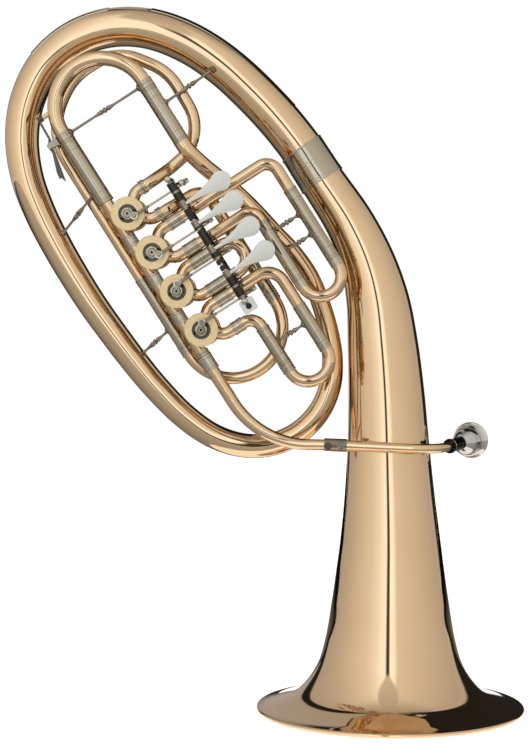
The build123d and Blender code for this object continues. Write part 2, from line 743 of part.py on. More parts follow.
# A rail across the valve pipes carries the two posts that hold the axle.
rail_base = outer_radius + 0.5 + seat_gap
rail_thick = 2.0
rail_width = 7.0
post_inset = 3.2
with BuildPart() as lever_rail:
    rail_length = axle_end - axle_start
    rail = Plane(origin=at((axle_start + axle_end) / 2, axle_v, rail_base), x_dir=U, z_dir=W)
    with BuildSketch(rail) as bar:
        Rectangle(rail_length, rail_width)
    extrude(bar.sketch, amount=rail_thick)
    for u in (axle_start + post_inset, axle_end - post_inset):
        rod(Plane(origin=at(u, axle_v, rail_base + rail_thick + seat_gap), z_dir=W),
            axle_w - rail_base - rail_thick + 4, post_radius)
    for u in (valve_u["third"] - port_u, valve_u["first"] - port_u):
        rod(Plane(origin=at(u, axle_v), z_dir=W), rail_base, 3.0)
        rod(Plane(origin=at(u, axle_v - 10), z_dir=V), 20, port_radius + seat_gap,
            mode=Mode.SUBTRACT)
    rod(Plane(origin=at(axle_start, axle_v, axle_w), z_dir=U), rail_length,
        axle_radius + seat_gap, mode=Mode.SUBTRACT)
save(lever_rail, "lever_rail")

spring_radius = 3.9
spring_gap = 0.5
spring_room = {
    "fourth": (barrel["fourth"][1], barrel["third"][0]),
    "third": (barrel["third"][1], barrel["second"][0]),
    "second": (barrel["second"][1], (barrel["second"][1] + barrel["first"][0]) / 2),
    "first": ((barrel["second"][1] + barrel["first"][0]) / 2, barrel["first"][0]),
}
with BuildPart() as lever_springs:
    for start, end in spring_room.values():
        length = end - start - 2 * spring_gap
        rod(Plane(origin=at(start + spring_gap, axle_v, axle_w), z_dir=U), length,
            spring_radius, axle_radius + 0.3)
save(lever_springs, "lever_springs")

# ---------------------------------------------------------------- leadpipe and mouthpiece

mouth_way = Vector(sin(radians(mouth_angle)), cos(radians(mouth_angle)), sin(radians(mouth_rise)))
mouth_way = mouth_way.normalized()
lead_corner = at(lead_corner_u, line_v)
lead_front = lead_corner + Vector(lead_run, -lead_set, 0)
bell_corner = Vector(bell_pass, lead_front.Y, lead_front.Z - lead_fall)
lead_first = at(lead_start, line_v)
lead_last = bell_corner + mouth_way * lead_tail
with BuildLine() as lead_path:
    FilletPolyline(lead_first, lead_corner, lead_front, bell_corner, lead_last,
                   radius=lead_bends)
lead_line = lead_path.line
lead_steps = 30
lead_route = []
for step in range(lead_steps + 1):
    share = step / lead_steps
    spot = lead_line @ share
    lead_route.append((spot.X, spot.Y, spot.Z, lead_radii[0] + share * (lead_radii[1] - lead_radii[0])))

with BuildPart() as leadpipe:
    cone_tube(lead_route, 0, lead_steps, tube_wall)
save(leadpipe, "leadpipe")

receiver_start = lead_last + mouth_way * seat_gap
with BuildPart() as receiver:
    mouth_plane = Plane(origin=receiver_start, z_dir=mouth_way)
    rod(mouth_plane, receiver_length, receiver_radius, shank_radius + slide_fit)
    rod(mouth_plane, 3.5, receiver_radius + 0.9, shank_radius + slide_fit)
    rod(mouth_plane.offset(receiver_length - 2.5), 2.5, receiver_radius + 0.5,
        shank_radius + slide_fit)
save(receiver, "mouthpiece_receiver")

# The mouthpiece: a shank in the receiver, a bowl behind the cup and a wide rounded rim.
throat_radius = 3.0
rim_back = mouth_length - 4.0
with BuildPart() as mouthpiece:
    seat = receiver_start + mouth_way * (receiver_length + 0.3)
    outward = mouth_way.cross(Vector(0, 0, 1)).normalized()
    with BuildSketch(Plane(origin=seat, x_dir=outward.cross(mouth_way), z_dir=outward)) as cup:
        with BuildLine():
            Polyline((throat_radius, shank_depth), (shank_radius, shank_depth), (shank_radius, 0),
                     (6.4, 0), (6.9, -2))
            Spline((6.9, -2), (10.6, -7), (13.8, -13), (14.8, -21), (15.0, -rim_back + 5))
            Polyline((15.0, -rim_back + 5), (mouth_rim - 1.6, -rim_back))
            ThreePointArc((mouth_rim - 1.6, -rim_back), (mouth_rim, -rim_back - 1.6),
                          (mouth_rim - 1.6, -rim_back - 3.4))
            ThreePointArc((mouth_rim - 1.6, -rim_back - 3.4), (mouth_rim - 4, -mouth_length),
                          (mouth_rim - 6.6, -mouth_length + 1.8))
            Spline((mouth_rim - 6.6, -mouth_length + 1.8), (10.6, -mouth_length + 15),
                   (throat_radius, -2))
            Line((throat_radius, -2), (throat_radius, shank_depth))
        make_face()
    revolve(cup.sketch, axis=Axis(seat, mouth_way))
save(mouthpiece, "mouthpiece")

# A clip on the leadpipe holds the music lyre: its socket and its screw face the player's front.
lyre_share = 0.59
lyre_socket_radius = 2.6
lyre_socket_length = 7.0
lyre_boss = 4.0
lyre_back = 17.5
lyre_front = 6.5
lyre_wall = 1.0
lyre_screw_back = 13.0
lyre_screw_radius = 1.5
lyre_screw_head = (2.2, 3.9)
lyre_screw_boss = (4.0, 3.4)
lyre_screw_length = 4.3
lyre_sink = 0.4
clip_gap = 0.1
with BuildPart() as lyre_holder:
    middle = lead_line @ lyre_share
    way = (lead_line % lyre_share).normalized()
    clip_bore = lead_radii[0] + lyre_share * (lead_radii[1] - lead_radii[0]) + seat_gap + clip_gap
    rod(Plane(origin=middle - way * lyre_back, z_dir=way), lyre_back + lyre_front,
        clip_bore + lyre_wall)
    socket_spot = Vector(middle.X, middle.Y - clip_bore - lyre_sink, middle.Z)
    rod(Plane(origin=socket_spot, z_dir=(0, -1, 0)), lyre_socket_length, lyre_boss)
    screw_spot = socket_spot - Vector(lyre_screw_back, 0, 0)
    rod(Plane(origin=screw_spot, z_dir=(0, -1, 0)), *lyre_screw_boss)
    cone(lead_route, 0, lead_steps, seat_gap, Mode.SUBTRACT)
    rod(Plane(origin=socket_spot, z_dir=(0, -1, 0)), lyre_socket_length, lyre_socket_radius,
        mode=Mode.SUBTRACT)
    rod(Plane(origin=screw_spot, z_dir=(0, -1, 0)), lyre_screw_boss[0], lyre_screw_radius + turn_fit,
        mode=Mode.SUBTRACT)
save(lyre_holder, "lyre_holder")

with BuildPart() as lyre_screw:
    rod(Plane(origin=screw_spot, z_dir=(0, -1, 0)), lyre_screw_length, lyre_screw_radius)
    head_spot = screw_spot + Vector(0, -lyre_screw_length, 0)
    rod(Plane(origin=head_spot, z_dir=(0, -1, 0)), *lyre_screw_head)
save(lyre_screw, "lyre_screw")

# ---------------------------------------------------------------- braces

# Each brace's feet are cut to the tubes that they are soldered to.
with BuildPart() as braces:
    body = [Vector(*spot[:3]) for spot in body_route]
    left_spot = top_end + 3
    low_spot = left_end + 1
    top_spot = bell_end + 4
    lead_spot = left_end + 6
    brace(at(-41, line_v), body[left_spot], main_outer + main_step, body_route[left_spot][3])
    brace(at(124, left_v, rear_layer), body[low_spot], outer_radius, body_route[low_spot][3])
    brace(at(-79, main_right_v), body[top_spot] + Vector(0, -18, 0), main_outer, 13)
    brace(lead_line @ 0.27, body[lead_spot], lead_radii[1], body_route[lead_spot][3])
    for u in (96.5, 121.0):
        brace(at(u, third_leg_v[1]), at(u, third_leg_v[0]), outer_radius, outer_radius)
    brace(at(197, first_leg_v[0]), at(197, first_leg_v[1]), outer_radius, outer_radius)
    rod(Plane(origin=(-6, bell_corner.Y, bell_corner.Z + 0.5), z_dir=(0, 1, 0)), 12, 4.5)
    cone(body_route, 0, bell_end, seat_gap, Mode.SUBTRACT)
    cone(body_route, bell_end, top_end, seat_gap, Mode.SUBTRACT)
    cone(body_route, top_end, left_end, seat_gap, Mode.SUBTRACT)
    cone(body_route, left_end, bottom_end, seat_gap, Mode.SUBTRACT)
    cone(lead_route, 0, lead_steps, seat_gap, Mode.SUBTRACT)
    for v in (line_v, main_right_v):
        rod(Plane(origin=at(main_open_end, v), z_dir=U), -main_open_end, main_outer + seat_gap,
            mode=Mode.SUBTRACT)
    rod(Plane(origin=at(main_leg_end - main_ferrule, line_v), z_dir=U), main_ferrule,
        main_outer + main_step + seat_gap, mode=Mode.SUBTRACT)
    rod(Plane(origin=at(fourth_leg_u[0], left_v, rear_layer), z_dir=U), 100,
        outer_radius + seat_gap, mode=Mode.SUBTRACT)
    for v in third_leg_v + first_leg_v:
        rod(Plane(origin=at(third_leg_u[0], v), z_dir=U), 130, outer_radius + seat_gap,
            mode=Mode.SUBTRACT)
save(braces, "braces")

print("parts written:", len(os.listdir("parts")))
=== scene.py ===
import json
import math
import bmesh
import bpy
from mathutils import Matrix, Vector


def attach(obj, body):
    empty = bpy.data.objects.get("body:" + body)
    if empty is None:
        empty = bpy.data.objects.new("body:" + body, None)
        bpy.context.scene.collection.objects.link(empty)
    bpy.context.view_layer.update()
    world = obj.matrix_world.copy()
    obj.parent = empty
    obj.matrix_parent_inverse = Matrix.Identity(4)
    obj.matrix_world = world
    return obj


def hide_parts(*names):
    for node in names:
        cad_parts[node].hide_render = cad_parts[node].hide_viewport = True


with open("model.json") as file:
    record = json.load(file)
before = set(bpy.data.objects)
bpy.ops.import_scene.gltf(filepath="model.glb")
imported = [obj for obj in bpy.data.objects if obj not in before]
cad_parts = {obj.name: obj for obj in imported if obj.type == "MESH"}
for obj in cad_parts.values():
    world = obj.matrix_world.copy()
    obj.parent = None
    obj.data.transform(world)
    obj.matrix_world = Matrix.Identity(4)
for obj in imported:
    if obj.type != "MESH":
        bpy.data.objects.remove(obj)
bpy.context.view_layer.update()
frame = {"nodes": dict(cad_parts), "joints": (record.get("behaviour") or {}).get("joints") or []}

# ---------------------------------------------------------------- the body tube
# One conical tube runs from the bell's throat round the oval to the main slide. It is gold brass
# sheet, brazed along a seam, drawn and bent full of pitch, and its lengths are soldered end to end.

MM = 0.001
bell_wall = 1.1
body_wall = 0.45
bell_stations = [
    (0, 0, 4.7, 142.5), (0, 0, 6.2, 133.5), (0, 0, 9.4, 123), (0, 0, 16.4, 104.7),
    (0, 0, 29.6, 90.7), (0, 0, 50, 77.9), (0, 0, 78, 69.7), (0, 0, 118, 63), (0, 0, 150, 58.4),
    (0, 0, 178, 54.7), (-0.9, 0, 230, 48.8), (-2.6, 0, 292, 43.7), (-4.8, 0, 345, 40.7),
    (-8.6, 0, 395, 37.8), (-14, 0, 441, 34), (-25, 0, 483, 29.8), (-44, 0, 525, 26.6),
    (-73.6, 0, 570.4, 24.3), (-85.2, 0, 588.2, 23.9),
]
top_stations = [
    (-96.8, 0, 606, 23.6), (-121, 0, 636.5, 23.4), (-148, 0, 665, 23.1), (-181, 0, 694.7, 22.7),
    (-219, 0, 719.3, 22.2), (-261, 0, 734.4, 21.6), (-301, 0, 735.8, 21), (-340, 0, 723.5, 20.2),
    (-373, 0, 696.5, 19.5), (-392.5, 0, 659, 18.9), (-398.8, 0, 619, 18.3),
]
left_stations = [
    (-393.6, 0, 576.6, 17.8), (-380.3, 0, 539.5, 17.3), (-363, 0, 504.7, 16.8),
    (-342.9, 0, 470, 16.3), (-322.2, 0, 437.5, 15.8), (-301.1, 0, 408.1, 15.4),
]
bottom_stations = [
    (-277.6, 0, 377, 15), (-251.8, 0, 346.2, 14.5), (-222.9, 0, 317.4, 14),
    (-191.5, 0, 295.8, 13.6), (-158.1, 0, 285.6, 13.2), (-126.7, 0, 287.4, 12.8),
    (-98.4, 0, 300.6, 12.5), (-77, 0, 322.9, 12.2), (-65, 0, 351.8, 11.8), (-62.9, 0, 382, 11.2),
    (-67.6, -1.5, 412, 10.6),
]
return_stations = [
    (-76, -4.5, 441, 10.1), (-88, -9.5, 470, 9.6), (-105.5, -14.5, 495, 9.3),
    (-126, -18.5, 517, 9.1), (-145, -21.6, 538, 8.9), (-164, -24, 556.5, 8.8),
    (-183, -28.4, 572.5, 8.8), (-199.5, -36.5, 586, 8.7), (-216.5, -42, 602.6, 8.53),
    (-221.3, -42, 610.2, 8.53),
]
stations = bell_stations + top_stations + left_stations + bottom_stations + return_stations


def linear(hex_colour):
    values = [int(hex_colour[i:i + 2], 16) / 255 for i in (1, 3, 5)]
    return tuple(c / 12.92 if c <= 0.04045 else ((c + 0.055) / 1.055) ** 2.4 for c in values) + (1.0,)


def add_node(tree, kind, settings=None, inputs=None, links=None):
    """Adds a node, sets its properties and sockets, and links sockets to other nodes' outputs."""
    node = tree.nodes.new(kind)
    for key, value in (settings or {}).items():
        setattr(node, key, value)
    for key, value in (inputs or {}).items():
        node.inputs[key].default_value = value
    for key, (source, output) in (links or {}).items():
        tree.links.new(source.outputs[output], node.inputs[key])
    return node


def start_material(name):
    material = bpy.data.materials.new(name)
    material.use_nodes = True
    material.node_tree.nodes.clear()
    return material, material.node_tree


def polished_metal(name, colour, deep, roughness, ripple_mm, ripple, stretch=1.0):
    """Metal with two close tones and the faint ripple that a mop, or a drawing die, leaves."""
    material, tree = start_material(name)
    place = add_node(tree, "ShaderNodeTexCoord")
    turned = add_node(tree, "ShaderNodeMapping", {},
                      {"Rotation": (0, math.radians(-32.4), 0), "Scale": (1, 1, 1 / stretch)},
                      {"Vector": (place, "Object")})
    tone = add_node(tree, "ShaderNodeTexNoise", {}, {"Scale": 18.0, "Detail": 3.0},
                    {"Vector": (place, "Object")})
    mix = add_node(tree, "ShaderNodeMix", {"data_type": "RGBA"}, {"A": linear(colour), "B": linear(deep)},
                   {"Factor": (tone, "Fac")})
    mop = add_node(tree, "ShaderNodeTexNoise", {}, {"Scale": 1000.0 / ripple_mm, "Detail": 2.0},
                   {"Vector": (turned, "Vector")})
    rough = add_node(tree, "ShaderNodeMapRange", {},
                     {"To Min": roughness * 0.8, "To Max": roughness * 1.3}, {"Value": (mop, "Fac")})
    bump = add_node(tree, "ShaderNodeBump", {}, {"Strength": ripple, "Distance": 0.0002},
                    {"Height": (mop, "Fac")})
    shader = add_node(tree, "ShaderNodeBsdfPrincipled", {}, {"Metallic": 1.0},
                      {"Base Color": (mix, "Result"), "Roughness": (rough, "Result"),
                       "Normal": (bump, "Normal")})
    add_node(tree, "ShaderNodeOutputMaterial", links={"Surface": (shader, "BSDF")})
    return material


# Gold brass, mopped to a mirror and lacquered: a warm beige that follows what stands round it.
gold_brass = polished_metal("lacquered_gold_brass", "#E9C9A1", "#E2BE93", 0.05, 12.0, 0.02)


def finished(bm, name, body, slot, material, *nodes, sharp=32.0):
    """Turns a bmesh into a piece that rides on a body and may stand for CAD nodes."""
    mesh = bpy.data.meshes.new(name)
    bm.edges.index_update()
    borders = [e.index for e in bm.edges if e.is_boundary]
    bm.to_mesh(mesh)
    bm.free()
    if "custom_normal" in mesh.attributes:
        mesh.attributes.remove(mesh.attributes["custom_normal"])
    for face in mesh.polygons:
        face.use_smooth = True
    mesh.set_sharp_from_angle(angle=math.radians(sharp))
    for index in borders:
        mesh.edges[index].use_edge_sharp = True
    piece = bpy.data.objects.new(name, mesh)
    bpy.context.scene.collection.objects.link(piece)
    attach(piece, body)
    if nodes:
        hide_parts(*nodes)
    mesh.materials.append(material)
    return piece


def smooth_route(stations, step):
    """Positions and radii every few millimetres on the curve through the stations."""
    knots = [Vector(s) for s in stations]
    route = []
    starts = []
    for i in range(len(knots) - 1):
        p0 = knots[i - 1] if i else 2 * knots[0] - knots[1]
        p1, p2 = knots[i], knots[i + 1]
        p3 = knots[i + 2] if i + 2 < len(knots) else 2 * p2 - p1
        t1 = (p1 - p0).length ** 0.5
        t2 = t1 + (p2 - p1).length ** 0.5
        t3 = t2 + (p3 - p2).length ** 0.5
        count = max(2, round((p2 - p1).to_3d().length / step))
        starts.append(len(route))
        for k in range(count):
            t = t1 + (t2 - t1) * k / count
            a1 = p0 * ((t1 - t) / t1) + p1 * (t / t1)
            a2 = p1 * ((t2 - t) / (t2 - t1)) + p2 * ((t - t1) / (t2 - t1))
            a3 = p2 * ((t3 - t) / (t3 - t2)) + p3 * ((t - t2) / (t3 - t2))
            b1 = a1 * ((t2 - t) / t2) + a2 * (t / t2)
            b2 = a2 * ((t3 - t) / (t3 - t1)) + a3 * ((t - t1) / (t3 - t1))
            route.append(b1 * ((t2 - t) / (t2 - t1)) + b2 * ((t - t1) / (t2 - t1)))
    starts.append(len(route))
    route.append(knots[-1])
    return [(p.to_3d() * MM, p.w * MM) for p in route], starts


body_route, body_starts = smooth_route(stations, 4)


def draw_tube(bm, route, around, first, last, grow=0.0):
    """Draws a ring of edges along part of a route, turning with it."""
    runs = []
    for i in range(first, last + 1):
        before, after = route[max(i - 1, 0)][0], route[min(i + 1, len(route) - 1)][0]
        runs.append((after - before).normalized())
    across = Vector((0, 1, 0))
    frames = []
    for run, (spot, radius) in zip(runs, route[first:last + 1]):
        across = (across - run * across.dot(run)).normalized()
        turn = Matrix((across, run.cross(across), run)).transposed().to_4x4()
        frames.append(Matrix.Translation(spot) @ turn @ Matrix.Scale(radius + grow * MM, 4))
    made = bmesh.ops.create_circle(bm, segments=around, radius=1.0, matrix=frames[0])
    edges = list({e for v in made["verts"] for e in v.link_edges})
    for before, after in zip(frames, frames[1:]):
        grown = bmesh.ops.extrude_edge_only(bm, edges=edges)["geom"]
        verts = [g for g in grown if isinstance(g, bmesh.types.BMVert)]
        edges = [g for g in grown if isinstance(g, bmesh.types.BMEdge)]
        edges = [e for e in edges if all(v in verts for v in e.verts)]
        bmesh.ops.transform(bm, matrix=after @ before.inverted(), verts=verts)


def give_wall(piece, wall):
    """Gives a drawn skin its thickness, inwards."""
    skin = piece.modifiers.new("wall", "SOLIDIFY")
    skin.thickness = wall * MM
    skin.offset = -1


ends = [0]
for lengths in (bell_stations, top_stations, left_stations, bottom_stations, return_stations):
    ends.append(ends[-1] + len(lengths))
for part, node in enumerate(("bell", "top_bow", "left_branch", "bottom_bow", "return_branch")):
    bm = bmesh.new()
    start = body_starts[max(ends[part] - 1, 0)]
    draw_tube(bm, body_route, 128 if node == "bell" else 96, start, body_starts[ends[part + 1] - 1])
    bmesh.ops.recalc_face_normals(bm, faces=bm.faces)
    piece = finished(bm, node + "_tube", "horn", "body_brass", gold_brass, node)
    give_wall(piece, bell_wall if node == "bell" else body_wall)

# ---------------------------------------------------------------- rim bead, ferrule and guards
# The bell's edge is rolled over a wire. A ferrule of nickel silver covers the joint at the neck,
# and two strips of it, soldered along the top bow, take the knocks.

polished_nickel = polished_metal("polished_nickel_silver", "#CBBEA8", "#B8AB94", 0.07, 5.0, 0.03)
# Drawn nickel silver tube keeps fine lines along its length. They are far finer on the real tube
# and are drawn here about half a millimetre apart, so that they show.
drawn_nickel = polished_metal("drawn_nickel_silver", "#C3B59C", "#B0A289", 0.075, 0.9, 0.06, stretch=40.0)

# Small turned parts have gone dull and brownish.
aged_nickel = polished_metal("aged_nickel_silver", "#A39884", "#857A68", 0.14, 3.0, 0.05)


def turned(bm, origin, axis, outline, around=48):
    """Turns an outline of radii and heights, in millimetres, about an axis, as on a lathe."""
    axis = Vector(axis).normalized()
    side = axis.orthogonal().normalized()
    verts = [bm.verts.new(origin + (side * r + axis * h) * MM) for r, h in outline]
    edges = [bm.edges.new(pair) for pair in zip(verts, verts[1:])]
    bmesh.ops.spin(bm, geom=verts + edges, cent=origin, axis=axis, angle=2 * math.pi, steps=around,
                   use_merge=True)


def close_up(bm):
    """Merges what meets and turns every face outwards."""
    bmesh.ops.remove_doubles(bm, verts=bm.verts, dist=0.000004)
    bmesh.ops.recalc_face_normals(bm, faces=bm.faces)


def ring_outline(radius, width, height, middle=0.0):
    """A half-round ring that stands on a tube of that radius."""
    points = [(radius - 0.1, middle - width / 2)]
    for k in range(7):
        turn = math.pi * k / 6
        points.append((radius + height * math.sin(turn), middle - width / 2 * math.cos(turn)))
    return points + [(radius - 0.1, middle + width / 2)]


bead_middle = 142.5
bead_radius = 2.5
bead_height = 2.2
bm = bmesh.new()
bead = []
for k in range(25):
    turn = 2 * math.pi * k / 24
    bead.append((bead_middle + bead_radius * math.cos(turn),
                 max(0.0, bead_height + bead_radius * math.sin(turn))))
turned(bm, Vector((0, 0, 0)), (0, 0, 1), bead, 160)
close_up(bm)
finished(bm, "rolled_rim_bead", "horn", "body_brass", gold_brass, "bell_rim_bead")

ferrule_wall = 1.0
joint = len(bell_stations) - 1
bm = bmesh.new()
draw_tube(bm, body_route, 96, body_starts[joint - 1], body_starts[joint + 1], ferrule_wall)
bmesh.ops.recalc_face_normals(bm, faces=bm.faces)
piece = finished(bm, "neck_ferrule", "horn", "nickel_silver", drawn_nickel, "bell_ferrule")
give_wall(piece, ferrule_wall - 0.03)
bm = bmesh.new()
for index, width, shift in ((joint - 1, 1.8, 1.4), (joint - 1, 0.9, 4.5), (joint, 0.9, -2.0),
                            (joint, 0.9, 2.5), (joint + 1, 1.8, -1.4)):
    spot, radius = body_route[body_starts[index]]
    run = body_route[body_starts[index] + 1][0] - body_route[body_starts[index] - 1][0]
    turned(bm, spot, run, ring_outline(radius / MM + ferrule_wall, width, width * 0.28, shift), 96)
close_up(bm)
finished(bm, "neck_ferrule_rings", "horn", "nickel_silver", polished_nickel)


def smooth_copy(node, body, slot, material, sharp=32.0):
    """A merged copy of a CAD node, shaded smooth between its real edges."""
    bm = bmesh.new()
    bm.from_mesh(frame["nodes"][node].data)
    bmesh.ops.remove_doubles(bm, verts=bm.verts, dist=0.000005)
    return finished(bm, node + "_piece", body, slot, material, node, sharp=sharp)


smooth_copy("bow_guards", "horn", "nickel_silver", drawn_nickel)

# ---------------------------------------------------------------- the valves
# Four rotary valves stand in a row. Each casing is a cast brass drum with four ports, closed by a
# bearing plate at both ends, and a yellow brass ring with the stop corks is pressed on its front.

row_top = Vector((-276.4, -42.0, 533.8))
row_tilt = math.radians(32.4)
down = Vector((math.sin(row_tilt), 0, -math.cos(row_tilt)))
out = Vector((0, -1, 0))
over = out.cross(down)
valve_pitch = 48.1
valve_u = {name: k * valve_pitch for k, name in enumerate(("fourth", "third", "second", "first"))}


def spot(u, v, w=0.0):
    """A point of the row: u runs down it, v across it towards the bell, w out of the caps."""
    return (row_top + down * u + over * v + out * w) * MM


# Satin yellow brass scatters what it reflects, so it stays an even pale straw colour.
satin_yellow = polished_metal("satin_yellow_brass", "#F6DDAE", "#EDD09C", 0.5, 1.2, 0.10)
# The bearing plates sit in shade inside the ring, and this dark grey paints that shade on them.
dark_nickel_painted_shade = polished_metal("dark_nickel_with_painted_shade", "#6E675D", "#443F38", 0.32, 2.5, 0.10)
ring_hole = 9.6
ring_radius = 17.9
casing_half = 20.0
ring_thick = 2.5
cap_radius = 17.54
casing_radius = 16.64
bm = bmesh.new()
for u in valve_u.values():
    low, high = casing_half + 0.02, casing_half + ring_thick
    turned(bm, spot(u, 0), out, [
        (ring_hole, low), (ring_radius - 0.4, low), (ring_radius, low + 0.4),
        (ring_radius, high - 0.5), (ring_radius - 0.5, high), (ring_hole + 0.4, high),
        (ring_hole, high - 0.4), (ring_hole, low)], 72)
close_up(bm)
finished(bm, "cork_rings", "horn", "cap_brass", satin_yellow, "cork_plates")
bm = bmesh.new()
for u in valve_u.values():
    back = -casing_half - 1.6
    turned(bm, spot(u, 0), out, [
        (0, back + 0.5), (3.0, back + 0.5), (3.4, back), (9.0, back), (9.4, back + 0.4),
        (10.2, back + 0.4), (10.6, back), (cap_radius - 0.6, back), (cap_radius, back + 0.6),
        (cap_radius, back + 2.0), (cap_radius - 0.4, back + 2.4), (cap_radius, back + 2.8),
        (cap_radius, -14.4), (cap_radius - 0.4, -14.0), (casing_radius + 0.02, -14.0),
        (casing_radius + 0.02, -casing_half), (0, -casing_half)], 72)
close_up(bm)
finished(bm, "screwed_back_caps", "horn", "cap_brass", satin_yellow, "valve_back_caps")
# Both bearing plates take the dark grey of painted shade.
smooth_copy("valve_front_plates", "horn", "dark_nickel", dark_nickel_painted_shade)
smooth_copy("valve_back_plates", "horn", "cap_brass", dark_nickel_painted_shade)
for name in valve_u:
    smooth_copy(name + "_valve_casing", "horn", "body_brass", gold_brass)
    smooth_copy(name + "_rotor", name + "_rotor", "cap_brass", satin_yellow)

# ---------------------------------------------------------------- stop arms and corks
# A nickel silver arm is screwed on each rotor's spindle. It swings a quarter turn between two
# stubs of black cork, and carries the pin that the link rod pulls.


def plain_rubber(name, colour, pale):
    """A matte surface with a fine grain, as cork or rubber has."""
    material, tree = start_material(name)
    place = add_node(tree, "ShaderNodeTexCoord")
    grain = add_node(tree, "ShaderNodeTexNoise", {}, {"Scale": 900.0}, {"Vector": (place, "Object")})
    bump = add_node(tree, "ShaderNodeBump", {}, {"Strength": 0.3, "Distance": 0.0002},
                    {"Height": (grain, "Fac")})
    tone = add_node(tree, "ShaderNodeMix", {"data_type": "RGBA"}, {"A": linear(colour), "B": linear(pale)},
                    {"Factor": (grain, "Fac")})
    shader = add_node(tree, "ShaderNodeBsdfPrincipled", {}, {"Roughness": 0.8},
                      {"Base Color": (tone, "Result"), "Normal": (bump, "Normal")})
    add_node(tree, "ShaderNodeOutputMaterial", links={"Surface": (shader, "BSDF")})
    return material


# Cork that has taken up oil is nearly black and has no shine.
black_cork = plain_rubber("black_cork", "#141312", "#2A2826")
smooth_copy("stop_corks", "horn", "cork", black_cork)
arm_top = 25.4
hub_radius = 6.0
for name, u in valve_u.items():
    smooth_copy(name + "_stop_arm", name + "_rotor", "nickel_silver", aged_nickel)
    bm = bmesh.new()
    turned(bm, spot(u, 0), out, [
        (4.5, arm_top - 0.2), (4.5, arm_top + 0.2), (4.7, arm_top + 0.4), (5.4, arm_top + 0.4),
        (hub_radius, arm_top + 0.1), (hub_radius + 0.3, arm_top - 0.3),
        (hub_radius + 0.3, arm_top - 2.0), (hub_radius - 0.2, arm_top - 2.3)], 56)
    close_up(bm)
    finished(bm, name + "_hub_ring", name + "_rotor", "nickel_silver", polished_nickel)
    bm = bmesh.new()
    turned(bm, spot(u, 0), out, [(3.5, arm_top - 0.1), (3.5, arm_top + 0.25), (4.4, arm_top + 0.25),
                                 (4.4, arm_top - 0.1)], 40)
    turned(bm, spot(u, 0), out, [(0, arm_top + 0.72), (1.2, arm_top + 0.72), (1.3, arm_top + 0.5),
                                 (0, arm_top + 0.5)], 24)
    close_up(bm)
    finished(bm, name + "_hub_washer", name + "_rotor", "cork", black_cork)

# ---------------------------------------------------------------- pipes and slides
# The loops are drawn brass tube. Each slide's legs run in outer legs of nickel silver, which are
# turned with raised rings at both ends and soldered to the brass.

port_radius = 6.5
tube_wall = 0.5
leg_radius = 6.4
leg_outer = 7.03
leg_bore = 6.43
main_radius = 7.9
main_outer = 8.53
main_bore = 7.93
rear = -19.0
line_v = -14.5
port_u = 17.0
port_v = 26.0
first_leg_u = 176
first_leg_v = (54.2, 99.5)
second_leg_u = (valve_u["second"] - port_u, valve_u["second"] + port_u)
third_leg_u = (68, 81)
third_leg_v = (156.8, 113.8)
fourth_leg_u = 62
fourth_leg_v = (-28.5, 80)
main_leg_v = (line_v, 87.5)
main_leg_end = -39
main_bow_end = -162.5


def ports(name):
    """Where a valve's upper and lower ports lie along the row."""
    return valve_u[name] - port_u, valve_u[name] + port_u


def ring_edges(verts):
    """The edges of the ring that the last step left."""
    kept = set(verts)
    return list({e for v in verts for e in v.link_edges if all(w in kept for w in e.verts)})


def bend_pipe(bm, points, bends, radius, around=48):
    """Draws a pipe: straight runs between the points, with the ring spun round each bend."""
    run = (points[1] - points[0]).normalized()
    start = Matrix.Translation(points[0]) @ run.to_track_quat("Z", "Y").to_matrix().to_4x4()
    made = bmesh.ops.create_circle(bm, segments=around, radius=radius * MM, matrix=start)
    verts = made["verts"]
    here = points[0]
    for i in range(1, len(points)):
        run = (points[i] - points[i - 1]).normalized()
        target = points[i]
        if i < len(points) - 1:
            after = (points[i + 1] - points[i]).normalized()
            turn = run.angle(after)
            bend = bends[i - 1] * MM
            target = points[i] - run * bend * math.tan(turn / 2)
        if (target - here).length > 0.00001:
            grown = bmesh.ops.extrude_edge_only(bm, edges=ring_edges(verts))["geom"]
            verts = [g for g in grown if isinstance(g, bmesh.types.BMVert)]
            bmesh.ops.translate(bm, vec=target - here, verts=verts)
        here = target
        if i < len(points) - 1:
            axis = run.cross(after).normalized()
            centre = here + axis.cross(run) * bend
            steps = max(6, round(math.degrees(turn) / 5))
            spun = bmesh.ops.spin(bm, geom=verts + ring_edges(verts), cent=centre, axis=axis,
                                  angle=turn, steps=steps, use_merge=False)["geom_last"]
            verts = [g for g in spun if isinstance(g, bmesh.types.BMVert)]
            here = points[i] + after * bend * math.tan(turn / 2)


def pipe_piece(name, body, nodes, pipes, radius):
    """One piece of brass tube, with its wall, from routes of points in the row's frame."""
    bm = bmesh.new()
    for points, bends in pipes:
        bend_pipe(bm, [spot(*point) for point in points], bends, radius)
    close_up(bm)
    piece = finished(bm, name, body, "body_brass", gold_brass, *nodes)
    give_wall(piece, tube_wall)
    return piece


def bow_route(way, start, last, across_first, across_last, w=0.0):
    """A slide's moving tube: in along one leg, round the bow and back along the other."""
    half = abs(across_last - across_first) / 2
    points = [(start, across_first), (last + half, across_first), (last + half, across_last),
              (start, across_last)]
    if way == "u":
        return [(a, b, w) for a, b in points], [half, half]
    return [(b, a, w) for a, b in points], [half, half]


